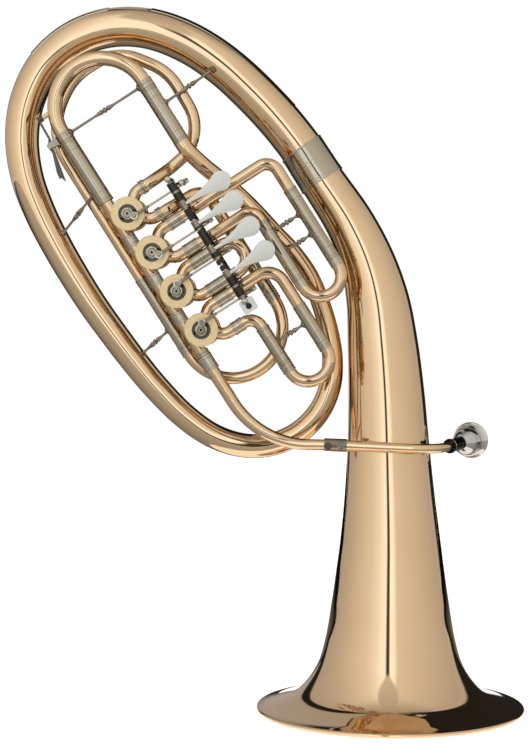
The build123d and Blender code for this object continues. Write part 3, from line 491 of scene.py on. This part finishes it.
upper, lower = ports("first")
pipe_piece("first_valve_tubes", "horn", ["first_valve_pipes"], [
    ([(lower, port_v), (lower, first_leg_v[0]), (first_leg_u, first_leg_v[0])], [13.5]),
    ([(upper, port_v), (upper, first_leg_v[1]), (first_leg_u, first_leg_v[1])], [20])], port_radius)
upper, lower = ports("third")
pipe_piece("third_valve_tubes", "horn", ["third_valve_pipes"], [
    ([(upper, port_v), (upper, third_leg_v[0]), (third_leg_u[0], third_leg_v[0])], [14]),
    ([(lower, port_v), (lower, third_leg_v[1]), (third_leg_u[1], third_leg_v[1])], [13.5])],
    port_radius)
upper, lower = ports("fourth")
pipe_piece("fourth_valve_upper_tube", "horn", ["fourth_valve_upper_crook"], [
    ([(upper, port_v), (upper, 36), (-20, 62, rear), (-28, 112.5, rear), (-108, 114.5, rear),
      (-157, 80, rear), (-158, 26, rear), (-124, fourth_leg_v[0], rear),
      (fourth_leg_u, fourth_leg_v[0], rear)], [24, 22, 46, 58, 52, 66, 70])], port_radius)
pipe_piece("fourth_valve_lower_tube", "horn", ["fourth_valve_lower_crook"], [
    ([(lower, port_v), (lower, 36), (lower, fourth_leg_v[1], rear),
      (fourth_leg_u, fourth_leg_v[1], rear)], [28, 16])], port_radius)
pipe_piece("first_slide_tube", "first_slide", ["first_slide_bow"],
           [bow_route("u", 182.4, 231.4, *first_leg_v)], leg_radius)
pipe_piece("second_slide_tube", "second_slide", ["second_slide_bow"],
           [bow_route("v", 30.4, 64.0, *second_leg_u)], leg_radius)
pipe_piece("third_slide_tube", "third_slide", ["third_slide_bow"],
           [bow_route("u", 114.4, 163.4, *third_leg_v)], leg_radius)
pipe_piece("fourth_slide_tube", "fourth_slide", ["fourth_slide_bow"],
           [bow_route("u", 99.4, 158.4, *fourth_leg_v, rear)], leg_radius)
main_half = (main_leg_v[1] - main_leg_v[0]) / 2
bm = bmesh.new()
bend_pipe(bm, [spot(main_leg_end, main_leg_v[0]), spot(main_bow_end, main_leg_v[0]),
               spot(main_bow_end, main_leg_v[1]), spot(main_leg_end, main_leg_v[1])],
          [main_half, main_half], main_radius, 56)
nipple = spot(-136, -12)
turned(bm, nipple, -over, [(2.6, 0), (2.6, 11.4), (2.2, 12), (1.8, 12), (1.6, 11.4), (1.6, 2)], 24)
close_up(bm)
finished(bm, "main_slide_tube", "main_slide", "body_brass", gold_brass, "main_slide_bow")


def leg_outline(length, outer, bore, proud=0.45):
    """The outline of a turned outer leg, with raised rings near both ends."""
    ring, low = outer + proud, outer + proud * 0.6
    front = [(outer - 0.2, 0), (ring, 0.35), (ring, 1.7), (outer, 2.0), (outer, 3.2),
             (low, 3.5), (low, 4.1), (outer, 4.4)]
    middle = []
    if length > 24:
        front += [(outer, 12.0), (low, 12.2), (low, 12.8), (outer, 13.0)]
        middle = [(outer, length - 13.0), (low, length - 12.8), (low, length - 12.2),
                  (outer, length - 12.0)]
    back = [(r, length - h) for r, h in reversed(front[:8])]
    return front + middle + back + [(bore, length), (bore, 0), (outer - 0.2, 0)]


def leg_piece(name, body, nodes, legs, material):
    """Turned sleeves: each starts at a point and runs along the row or across it.
    The low rings lean only 11 degrees or so, and their edges still show as edges."""
    bm = bmesh.new()
    for start, way, length, outer, bore, *proud in legs:
        turned(bm, spot(*start), way, leg_outline(length, outer, bore, *proud), 56)
    close_up(bm)
    return finished(bm, name, body, "nickel_silver", material, *nodes, sharp=8.0)


# Neighbours pass close by two of the sleeves, so their rings are kept low.
low_ring = 0.1
leg_piece("first_outer_legs", "horn", ["first_slide_outer_legs"], [
    ((first_leg_u, first_leg_v[0]), down, 46, leg_outer, leg_bore),
    ((first_leg_u, first_leg_v[1]), down, 46, leg_outer, leg_bore, low_ring)], drawn_nickel)
leg_piece("second_outer_legs", "horn", ["second_slide_outer_legs"], [
    ((u, port_v + 0.02), over, 28.6, leg_outer, leg_bore) for u in second_leg_u], drawn_nickel)
leg_piece("third_outer_legs", "horn", ["third_slide_outer_legs"], [
    ((third_leg_u[0], third_leg_v[0]), down, 86, leg_outer, leg_bore),
    ((third_leg_u[1], third_leg_v[1]), down, 73, leg_outer, leg_bore)], drawn_nickel)
leg_piece("fourth_outer_legs", "horn", ["fourth_slide_outer_legs"], [
    ((fourth_leg_u, v, rear), down, 87, leg_outer, leg_bore) for v in fourth_leg_v], drawn_nickel)
leg_piece("main_outer_legs", "horn", ["main_slide_outer_legs"], [
    ((-102.1, v), down, length, main_outer, main_bore)
    for v, length in zip(main_leg_v, (78.07, 67.1))], drawn_nickel)
# The bows' ferrules stop on the outer legs. They are polished, and have rings of their own.
ferrule_length = 9
bow_ferrules = {
    "first": [((222.4, v), down) for v in first_leg_v],
    "second": [((u, 55.0), over) for u in second_leg_u],
    "third": [((154.4, v), down, low_ring) for v in third_leg_v],
    "fourth": [((149.4, v, rear), down) for v in fourth_leg_v],
}
for name, places in bow_ferrules.items():
    leg_piece(name + "_bow_ferrules", name + "_slide", [], [
        (start, way, ferrule_length, leg_outer, leg_radius + 0.01, *proud)
        for start, way, *proud in places], polished_nickel)
leg_piece("main_bow_ferrules", "main_slide", [], [
    ((-111.5, v), down, ferrule_length, main_outer, main_radius + 0.01) for v in main_leg_v],
    polished_nickel)
# Sleeves join the casings in the row, the leadpipe to the last of them, and the ports to the
# loops' pipes.
leg_piece("row_sleeves", "horn", ["inline_sleeves"], [
    ((valve_u[name] + 16.55, line_v), down, 15, 7.5, 6.52) for name in ("fourth", "third", "second")
] + [((162.33, line_v), down, 6, 7.5, 6.52), ((168.33, line_v), down, 17.67, 8.0, 7.02)],
    polished_nickel)
port_sleeves = [((ports("first")[1], 27), 12.5), ((ports("first")[0], 28), 17)]
port_sleeves += [((u, 28), 17) for u in ports("third")]
port_sleeves += [((u, 24), 6) for u in reversed(ports("fourth"))]
leg_piece("port_sleeves", "horn", [], [
    (start, over, length, 7.2, port_radius + 0.01) for start, length in port_sleeves], polished_nickel)

# ---------------------------------------------------------------- levers and their linkage
# Four flat levers of pale nickel silver turn on one steel axle between two posts. A coil spring
# lifts each, and a rod with a thicker barrel at its eye pulls the stop arm round.

axle_v = 56.0
axle_w = 44.0
paddle_reach = 46.0
paddle_radius = 10.5
paddle_tip = 1.6
paddle_lean = math.radians(22)
paddle_thick = 1.8
rod_height = 28.0
# A face of the CAD lever past these is its flat arm or paddle, which is drawn again below.
arm_reach = 4.25 * MM
arm_rise = 0.9 * MM
pin_side = {"fourth": 1, "third": 1, "second": -1, "first": -1}
stem_u = {"fourth": 26.0, "third": 50.0, "second": 81.5, "first": 111.0}
lever_ends = {"fourth": (-0.95, 30.5), "third": (45.5, 56.15), "second": (77.0, 92.35),
              "first": (106.5, 140.45)}
spring_ends = {"fourth": (31.0, 45.0), "third": (56.65, 76.5), "second": (92.85, 98.9),
               "first": (99.9, 106.0)}
# The paddles are ground flat and left a soft silver grey, so they show an even pale tone.
paddle_silver = polished_metal("ground_nickel_paddle", "#E6E1D6", "#DEDACE", 0.5, 1.0, 0.05)
# Blued steel is a dark grey that keeps a little shine.
blued_steel = polished_metal("blued_spring_steel", "#5A5855", "#3E3D3B", 0.25, 2.0, 0.1)
dark_sleeve = polished_metal("darkened_nickel_sleeve", "#4A4742", "#2C2A27", 0.22, 2.0, 0.05)
axle_spot = spot(0, axle_v, axle_w)
for name in valve_u:
    bm = bmesh.new()
    bm.from_mesh(frame["nodes"][name + "_lever"].data)
    bmesh.ops.remove_doubles(bm, verts=bm.verts, dist=0.000005)
    flat = []
    for face in bm.faces:
        away = face.calc_center_median() - axle_spot
        away -= down * away.dot(down)
        if away.length > arm_reach and away.dot(out) > arm_rise:
            flat.append(face)
    bmesh.ops.delete(bm, geom=flat, context="FACES")
    finished(bm, name + "_lever_barrel", name + "_lever", "nickel_silver", aged_nickel, name + "_lever")
    bm = bmesh.new()
    edge = []
    wide = paddle_reach - paddle_radius * math.sin(paddle_lean)
    for k in range(16):
        t = k / 16
        grow = (3 - 2 * t) * t * t * (paddle_radius * math.cos(paddle_lean) - paddle_tip)
        grow += (t - 1) * t * t * math.tan(paddle_lean) * (wide - 2.5)
        edge.append((2.5 + (wide - 2.5) * t, -paddle_tip - grow))
    sides = len(edge)
    for k in range(25):
        turn = -math.pi / 2 - paddle_lean + (math.pi + 2 * paddle_lean) * k / 24
        edge.append((paddle_reach + paddle_radius * math.cos(turn), paddle_radius * math.sin(turn)))
    edge += [(v, -u) for v, u in reversed(edge[:sides])]
    face = bm.faces.new([bm.verts.new(spot(stem_u[name] + u, axle_v + v, axle_w + 1.0)) for v, u in edge])
    raised = bmesh.ops.extrude_face_region(bm, geom=[face])["geom"]
    lifted = [g for g in raised if isinstance(g, bmesh.types.BMVert)]
    bmesh.ops.translate(bm, vec=out * paddle_thick * MM, verts=lifted)
    bmesh.ops.recalc_face_normals(bm, faces=bm.faces)
    rims = [e for e in bm.edges if e.calc_face_angle(0) > 1.2]
    bmesh.ops.bevel(bm, geom=rims, offset=0.45 * MM, segments=3, profile=0.5, affect="EDGES", material=-1)
    finished(bm, name + "_paddle", name + "_lever", "paddle_silver", paddle_silver, name + "_lever")
    bm = bmesh.new()
    start, end = lever_ends[name]
    for low, high in ((start + 0.6, stem_u[name] - 2.6), (stem_u[name] + 2.6, end - 0.6)):
        count = max(1, round((high - low) / 11))
        for k in range(count):
            near = low + (high - low) * k / count + 0.4
            far = low + (high - low) * (k + 1) / count - min(2.2, (high - low) / 5)
            if far - near > 1.5:
                turned(bm, axle_spot, down, [
                    (4.1, near), (4.5, near), (4.7, near + 0.2), (4.7, near + 0.5), (4.4, near + 0.6),
                    (4.4, far - 0.6), (4.7, far - 0.5), (4.7, far - 0.2), (4.5, far), (4.1, far)], 40)
    close_up(bm)
    finished(bm, name + "_lever_sleeves", name + "_lever", "dark_nickel", dark_sleeve)
    smooth_copy(name + "_link_rod", name + "_link", "nickel_silver", polished_nickel)
    bm = bmesh.new()
    turned(bm, spot(valve_u[name] + pin_side[name] * 5.95, 9.8, rod_height), over, [
        (1.0, 0), (1.7, 0), (1.8, 0.3), (1.8, 1.6), (1.65, 1.8), (1.65, 9.6), (1.8, 9.9), (1.8, 11.2),
        (1.6, 12.0), (1.3, 14.0), (1.0, 14.0)], 28)
    close_up(bm)
    finished(bm, name + "_link_barrel", name + "_link", "nickel_silver", aged_nickel)
bm = bmesh.new()
coil_radius = 3.3
wire_radius = 0.55
for start, end in spring_ends.values():
    turns = max(3, round((end - start) / 1.3))
    pitch = (end - start - 2 * wire_radius) / turns
    first = axle_spot + down * (start + wire_radius) * MM + over * coil_radius * MM
    ring = bmesh.ops.create_circle(bm, segments=8, radius=wire_radius * MM, matrix=Matrix.Translation(
        first) @ down.cross(over).to_track_quat("Z", "Y").to_matrix().to_4x4())["verts"]
    bmesh.ops.spin(bm, geom=ring + ring_edges(ring), cent=axle_spot, axis=down,
                   dvec=down * pitch * MM / 16, angle=2 * math.pi * turns, steps=16 * turns,
                   use_merge=False)
close_up(bm)
finished(bm, "coil_springs", "horn", "spring_steel", blued_steel, "lever_springs", sharp=60)
smooth_copy("lever_axle", "horn", "nickel_silver", polished_nickel)
smooth_copy("lever_rail", "horn", "nickel_silver", polished_nickel)
bm = bmesh.new()
for u in (-4.75, 144.25):
    turned(bm, spot(u, axle_v), out, [(0, 49.6), (1.6, 49.5), (2.9, 48.8), (3.4, 47.9), (3.4, 47.3),
                                      (3.0, 46.9), (0, 46.9)], 32)
turned(bm, spot(5.1, 66), out, [(0, 46.2), (1.7, 45.9), (2.9, 44.8), (3.2, 43.4), (2.9, 42.0),
                                (1.8, 40.8), (1.3, 39.5), (1.3, 8.0), (0, 8.0)], 32)
close_up(bm)
finished(bm, "post_screws", "horn", "nickel_silver", polished_nickel)
bm = bmesh.new()
along_row = Matrix((down, over, out)).transposed().to_4x4()
bmesh.ops.create_cube(bm, size=1.0, matrix=Matrix.Translation(
    spot(149.5, 57, 45.2)) @ along_row @ Matrix.Diagonal((15 * MM, 16 * MM, 1.6 * MM, 1)))
bmesh.ops.bevel(bm, geom=[e for e in bm.edges if abs((e.verts[0].co - e.verts[1].co).dot(out)) > 0.001],
                offset=3 * MM, segments=6, profile=0.5, affect="EDGES", material=-1)
close_up(bm)
finished(bm, "post_end_plate", "horn", "paddle_silver", paddle_silver)
bm = bmesh.new()
turned(bm, spot(150.5, 57), out, [(0, 46.5), (1.0, 46.5), (1.2, 46.2), (2.4, 46.2), (2.5, 46.7),
                                  (3.0, 46.7), (3.2, 46.3), (3.2, 46.0), (0, 46.0)], 32)
close_up(bm)
finished(bm, "post_plate_screw", "horn", "dark_nickel", dark_sleeve)

# ---------------------------------------------------------------- leadpipe and mouthpiece
# The leadpipe is drawn to a taper and bent round the bell. Its receiver is a turned sleeve, and
# the mouthpiece, turned from brass and plated with silver, is pushed into it.

# Silver plate mirrors more strongly than brass and is nearly colourless.
silver_plate = polished_metal("silver_plate", "#DAD4CB", "#CAC4BA", 0.08, 6.0, 0.03)
# The receiver is plated black nickel.
black_nickel = polished_metal("black_nickel", "#3A3733", "#242220", 0.07, 6.0, 0.02)
smooth_copy("leadpipe", "horn", "body_brass", gold_brass, sharp=45)
smooth_copy("mouthpiece_receiver", "horn", "dark_nickel", black_nickel)
pull = next(j for j in frame["joints"] if j["name"] == "mouthpiece_pull")
mouth_way = Vector(pull["axis"]).normalized()
lead_corner = Vector((48.0, -50.5, 285.863))
# The leadpipe's straight tail, the receiver and the gaps at its two ends lie before the cup.
lead_tail = 36.0
receiver_length = 30.0
receiver_gaps = 0.02 + 0.3
seat = (lead_corner + mouth_way * (lead_tail + receiver_length + receiver_gaps)) * MM


def fair(points, count=8):
    """A fair curve through outline points."""
    curve = smooth_route([(r, h, 0, 1) for r, h in points], 0.6)[0]
    return [(p.x / MM, p.y / MM) for p, _ in curve]


bm = bmesh.new()
rim = 20.0
high = 34.7
outline = [(3.0, -24.0), (5.2, -24.0), (5.5, -23.7), (5.5, 0), (6.4, 0)] + fair([
    (6.9, 2), (10.6, 7), (13.8, 13), (14.8, 21), (15.0, high - 9)]) + fair([
        (rim - 1.6, high - 4.0), (rim - 0.3, high - 3.4), (rim, high - 2.4), (rim - 0.5, high - 1.2),
        (rim - 1.6, high - 0.6), (rim - 4, high), (rim - 5.6, high - 0.6), (rim - 6.6, high - 1.8),
        (rim - 7.0, high - 4.0), (10.6, high - 15), (6.4, high - 25), (3.4, high - 31)]) + [(3.0, -24.0)]
turned(bm, seat, mouth_way, outline, 96)
close_up(bm)
finished(bm, "turned_mouthpiece", "mouthpiece", "silver_plate", silver_plate, "mouthpiece", sharp=50)
bm = bmesh.new()
turned(bm, seat, mouth_way, ring_outline(7.75, 1.4, 0.3, -29.0), 48)
close_up(bm)
finished(bm, "receiver_ring", "horn", "nickel_silver", polished_nickel)

# ---------------------------------------------------------------- lyre holder and water key
# A clip on the leadpipe takes a music lyre and pinches it with a thumb screw. The water key is a
# sprung bar of nickel silver on the main slide, with a cork pad over its nipple.

smooth_copy("lyre_holder", "horn", "nickel_silver", aged_nickel)
smooth_copy("lyre_screw", "lyre_screw", "nickel_silver", dark_nickel_painted_shade)
smooth_copy("water_key", "water_key", "nickel_silver", dark_nickel_painted_shade)
smooth_copy("water_key_saddle", "main_slide", "nickel_silver", aged_nickel)

# ---------------------------------------------------------------- braces
# Braces of nickel silver hold the tubes apart. Each is turned: a foot at both ends, a shaft that
# swells towards the middle, and a knop between two grooves.


def turn_brace(bm, start, end, start_radius, end_radius):
    """A turned brace from one tube's surface to another's, along the line between their middles."""
    way = (end - start).normalized()
    span = (end - start).length / MM - start_radius - end_radius
    origin = start + way * start_radius * MM
    mid = span / 2
    swell = min(11.0, mid * 0.6)
    half = [(0, -0.8), (3.9, -0.8), (4.1, 0.3), (3.2, 1.0), (1.9, 2.0), (1.5, 3.4),
            (1.3, mid - swell - 1), (1.4, mid - swell), (2.6, mid - 4.6), (2.7, mid - 3.8),
            (1.7, mid - 2.6), (1.7, mid - 1.8), (2.8, mid - 1.2), (3.0, mid - 0.5)]
    if mid < 9:
        half = half[:4] + [(1.6, 1.4), (1.3, 2.0), (1.3, mid - 2.4), (2.4, mid - 1.2), (2.6, mid - 0.4)]
    outline = half + [(r, span - h) for r, h in reversed(half)]
    turned(bm, origin, way, outline, 28)


body = [Vector(s[:3]) * MM for s in stations]
left = len(bell_stations) + len(top_stations)
bottom = left + len(left_stations)
lead_soldered = Vector((-149.0, -42.5, 313.8)) * MM
bm = bmesh.new()
turn_brace(bm, spot(-41, line_v), body[left + 2], 9.13, stations[left + 2][3])
turn_brace(bm, spot(124, fourth_leg_v[0], rear), body[bottom], leg_outer, stations[bottom][3])
bow_front = body[len(bell_stations) + 3] + Vector((0, -18, 0)) * MM
turn_brace(bm, spot(-79, main_leg_v[1]), bow_front, main_outer, 13)
turn_brace(bm, lead_soldered, body[bottom + 5], 6.4, stations[bottom + 5][3])
for u in (96.5, 121.0):
    turn_brace(bm, spot(u, third_leg_v[1]), spot(u, third_leg_v[0]), leg_outer, leg_outer)
turn_brace(bm, spot(197, first_leg_v[0]), spot(197, first_leg_v[1]), leg_outer, leg_outer)
turned(bm, Vector((-6, -50.5, 286.4)) * MM, (0, 1, 0), [
    (0, 3.5), (3.6, 3.5), (4.5, 5.0), (3.4, 7.0), (4.4, 9.5), (4.4, 12), (0, 12)], 32)
close_up(bm)
finished(bm, "turned_braces", "horn", "nickel_silver", aged_nickel, "braces")
bm = bmesh.new()
turn_brace(bm, spot(-107, main_leg_v[0]), spot(-107, main_leg_v[1]), main_outer, main_outer)
close_up(bm)
finished(bm, "main_slide_turned_brace", "main_slide", "nickel_silver", aged_nickel,
         "main_slide_brace")

# ---------------------------------------------------------------- the studio
# The horn stands on a white sweep in a tent of two long white sheets, with a narrow one behind on
# the left. A gap beside the camera and the dark behind show as dark lines in the metal, and the
# tent is dimmer overhead.

tent_radius = 4.0


def seen_directly(tree):
    """1 for what the camera, a mirror or glass sees, and 0 for light that only spreads."""
    path = add_node(tree, "ShaderNodeLightPath")
    seen = add_node(tree, "ShaderNodeMath", {"operation": "MAXIMUM"}, {},
                    {0: (path, "Is Camera Ray"), 1: (path, "Is Glossy Ray")})
    return add_node(tree, "ShaderNodeMath", {"operation": "MAXIMUM"}, {},
                    {0: (seen, "Value"), 1: (path, "Is Transmission Ray")})


def studio_piece(name, bm, *unseen_by):
    """A piece of the studio, which isn't part of the horn, and the rays that pass it by."""
    mesh = bpy.data.meshes.new(name)
    bm.to_mesh(mesh)
    bm.free()
    piece = bpy.data.objects.new(name, mesh)
    bpy.context.scene.collection.objects.link(piece)
    for ray in unseen_by:
        setattr(piece, "visible_" + ray, False)
    return piece


bm = bmesh.new()
bmesh.ops.create_circle(bm, cap_ends=True, segments=120, radius=tent_radius - 0.01)
floor = studio_piece("floor", bm)
material, tree = start_material("white_sweep")
shown = seen_directly(tree)
matte = add_node(tree, "ShaderNodeBsdfDiffuse", {}, {"Color": (0.9, 0.9, 0.9, 1)})
where = add_node(tree, "ShaderNodeTexCoord")
far = add_node(tree, "ShaderNodeVectorMath", {"operation": "LENGTH"}, {}, {0: (where, "Object")})
level = add_node(tree, "ShaderNodeMapRange", {},
                 {"From Min": 0.5, "From Max": 2.0, "To Min": 0.72, "To Max": 1.0}, {"Value": (far, "Value")})
glow = add_node(tree, "ShaderNodeEmission", {}, {"Color": (1, 1, 1, 1)}, {"Strength": (level, "Result")})
both = add_node(tree, "ShaderNodeAddShader", {}, {}, {0: (matte, "BSDF"), 1: (glow, "Emission")})
mix = add_node(tree, "ShaderNodeMixShader", {}, {},
               {0: (shown, "Value"), 1: (matte, "BSDF"), 2: (both, "Shader")})
add_node(tree, "ShaderNodeOutputMaterial", links={"Surface": (mix, "Shader")})
floor.data.materials.append(material)

# The tent's light: degrees round from the camera's side towards +X, how bright it is there, and
# how much bluer than white.
tent = [
    (-180, 0.02, 1.0), (-173, 0.02, 1.0), (-171, 0.45, 1.0), (-152, 0.45, 1.0), (-150, 0.02, 1.0),
    (-139, 0.02, 1.0), (-136, 0.50, 1.0), (-93, 0.66, 1.0), (-62, 0.84, 1.0), (-42, 0.95, 1.02),
    (-25, 1.12, 1.12), (-14, 1.30, 1.25), (-8, 1.30, 1.25), (-6.6, 0.05, 1.0), (-2.0, 0.05, 1.0),
    (-0.6, 1.45, 1.25), (7, 1.30, 1.2), (13, 0.92, 1.0), (30, 0.86, 1.0), (60, 0.77, 1.0),
    (96, 0.65, 1.0), (117, 0.57, 1.0), (130, 0.60, 1.0), (134, 0.02, 1.0), (180, 0.02, 1.0),
]
bm = bmesh.new()
bmesh.ops.create_uvsphere(bm, u_segments=120, v_segments=60, radius=tent_radius)
bmesh.ops.bisect_plane(bm, geom=bm.verts[:] + bm.edges[:] + bm.faces[:], plane_co=(0, 0, 0),
                       plane_no=(0, 0, 1), clear_inner=True)
wall = studio_piece("tent", bm, "camera", "shadow")
material, tree = start_material("lit_sheets")
where = add_node(tree, "ShaderNodeTexCoord")
parts = add_node(tree, "ShaderNodeSeparateXYZ", {}, {}, {"Vector": (where, "Object")})
away = add_node(tree, "ShaderNodeMath", {"operation": "MULTIPLY"}, {1: -1.0}, {0: (parts, "Y")})
turn = add_node(tree, "ShaderNodeMath", {"operation": "ARCTAN2"}, {},
                {0: (parts, "X"), 1: (away, "Value")})
share = add_node(tree, "ShaderNodeMapRange", {},
                 {"From Min": -math.pi, "From Max": math.pi, "To Min": 0.0, "To Max": 1.0},
                 {"Value": (turn, "Value")})
ramp = add_node(tree, "ShaderNodeValToRGB", {}, {}, {"Fac": (share, "Result")})
band = ramp.color_ramp
band.elements.remove(band.elements[0])
for index, (angle, level, cool) in enumerate(tent):
    element = band.elements[0] if index == 0 else band.elements.new(0.5 + angle / 360)
    element.position = 0.5 + angle / 360
    element.color = (level / 2, level / 2 * (1 + (cool - 1) * 0.5), level / 2 * cool, 1)
# Overhead light comes down lowest above the gap, and its edge rises to both sides of it.
from_gap = add_node(tree, "ShaderNodeMath", {"operation": "ADD"}, {1: 0.075}, {0: (turn, "Value")})
aside = add_node(tree, "ShaderNodeMath", {"operation": "ABSOLUTE"}, {}, {0: (from_gap, "Value")})
slope = add_node(tree, "ShaderNodeMapRange", {}, {"From Max": 0.45, "To Max": 1.5},
                 {"Value": (aside, "Value")})
height = add_node(tree, "ShaderNodeMath", {"operation": "SUBTRACT"}, {},
                  {0: (parts, "Z"), 1: (slope, "Result")})
above = add_node(tree, "ShaderNodeMapRange", {"interpolation_type": "SMOOTHSTEP"},
                 {"From Min": 2.0, "From Max": 2.5}, {"Value": (height, "Value")})
back = add_node(tree, "ShaderNodeMapRange", {}, {"From Min": -3.6, "From Max": 1.0, "To Min": 0.40,
                                                 "To Max": 0.22}, {"Value": (parts, "Y")})
end = add_node(tree, "ShaderNodeMapRange", {"interpolation_type": "SMOOTHSTEP"},
               {"From Min": 0.2, "From Max": 1.5, "To Min": 1.0, "To Max": 0.06}, {"Value": (parts, "Y")})
lid = add_node(tree, "ShaderNodeMath", {"operation": "MULTIPLY"}, {},
               {0: (back, "Result"), 1: (end, "Result")})
blend = add_node(tree, "ShaderNodeMix", {"data_type": "RGBA"}, {},
                 {"Factor": (above, "Result"), "A": (ramp, "Color"), "B": (lid, "Value")})
sheet = add_node(tree, "ShaderNodeEmission", {}, {"Strength": 2.0}, {"Color": (blend, "Result")})
add_node(tree, "ShaderNodeOutputMaterial", links={"Surface": (sheet, "Emission")})
wall.data.materials.append(material)

# Felt lies on the floor round the horn, grey in front and black behind, where only metal sees it.
bm = bmesh.new()
for radius in (0.34, tent_radius - 0.1):
    bmesh.ops.create_circle(bm, segments=96, radius=radius, matrix=Matrix.Translation((0, 0, 0.001)))
bmesh.ops.bridge_loops(bm, edges=bm.edges[:])
felt = studio_piece("black_felt", bm, "camera", "diffuse", "shadow", "transmission")
material, tree = start_material("felt")
where = add_node(tree, "ShaderNodeTexCoord")
parts = add_node(tree, "ShaderNodeSeparateXYZ", {}, {}, {"Vector": (where, "Object")})
level = add_node(tree, "ShaderNodeMapRange", {}, {"From Min": -0.3, "From Max": 1.5, "To Min": 0.70,
                                                  "To Max": 0.01}, {"Value": (parts, "Y")})
nap = add_node(tree, "ShaderNodeBsdfDiffuse", {}, {}, {"Color": (level, "Result")})
add_node(tree, "ShaderNodeOutputMaterial", links={"Surface": (nap, "BSDF")})
felt.data.materials.append(material)

world = bpy.data.worlds.new("studio")
bpy.context.scene.world = world
world.use_nodes = True
tree = world.node_tree
tree.nodes.clear()
shown = seen_directly(tree)
room = add_node(tree, "ShaderNodeBackground", {}, {"Color": (1, 1, 1, 1), "Strength": 0.7})
plain = add_node(tree, "ShaderNodeBackground", {}, {"Color": (1, 1, 1, 1), "Strength": 1.0})
mix = add_node(tree, "ShaderNodeMixShader", {}, {},
               {0: (shown, "Value"), 1: (room, "Background"), 2: (plain, "Background")})
add_node(tree, "ShaderNodeOutputWorld", links={"Surface": (mix, "Shader")})

camera_data = bpy.data.cameras.new("camera")
camera = bpy.data.objects.new("camera", camera_data)
bpy.context.scene.collection.objects.link(camera)
camera_data.sensor_width = 36.0
camera_data.lens = 36.0 * 1981 / 750
camera.location = (-0.020, -2.135, 0.454)
look = Vector((-0.1356, 0, 0.362)) - camera.location
camera.rotation_mode = "QUATERNION"
camera.rotation_quaternion = look.to_track_quat("-Z", "Y")
camera_data.clip_end = 100
bpy.context.scene.camera = camera
bpy.context.scene.view_settings.view_transform = "Standard"
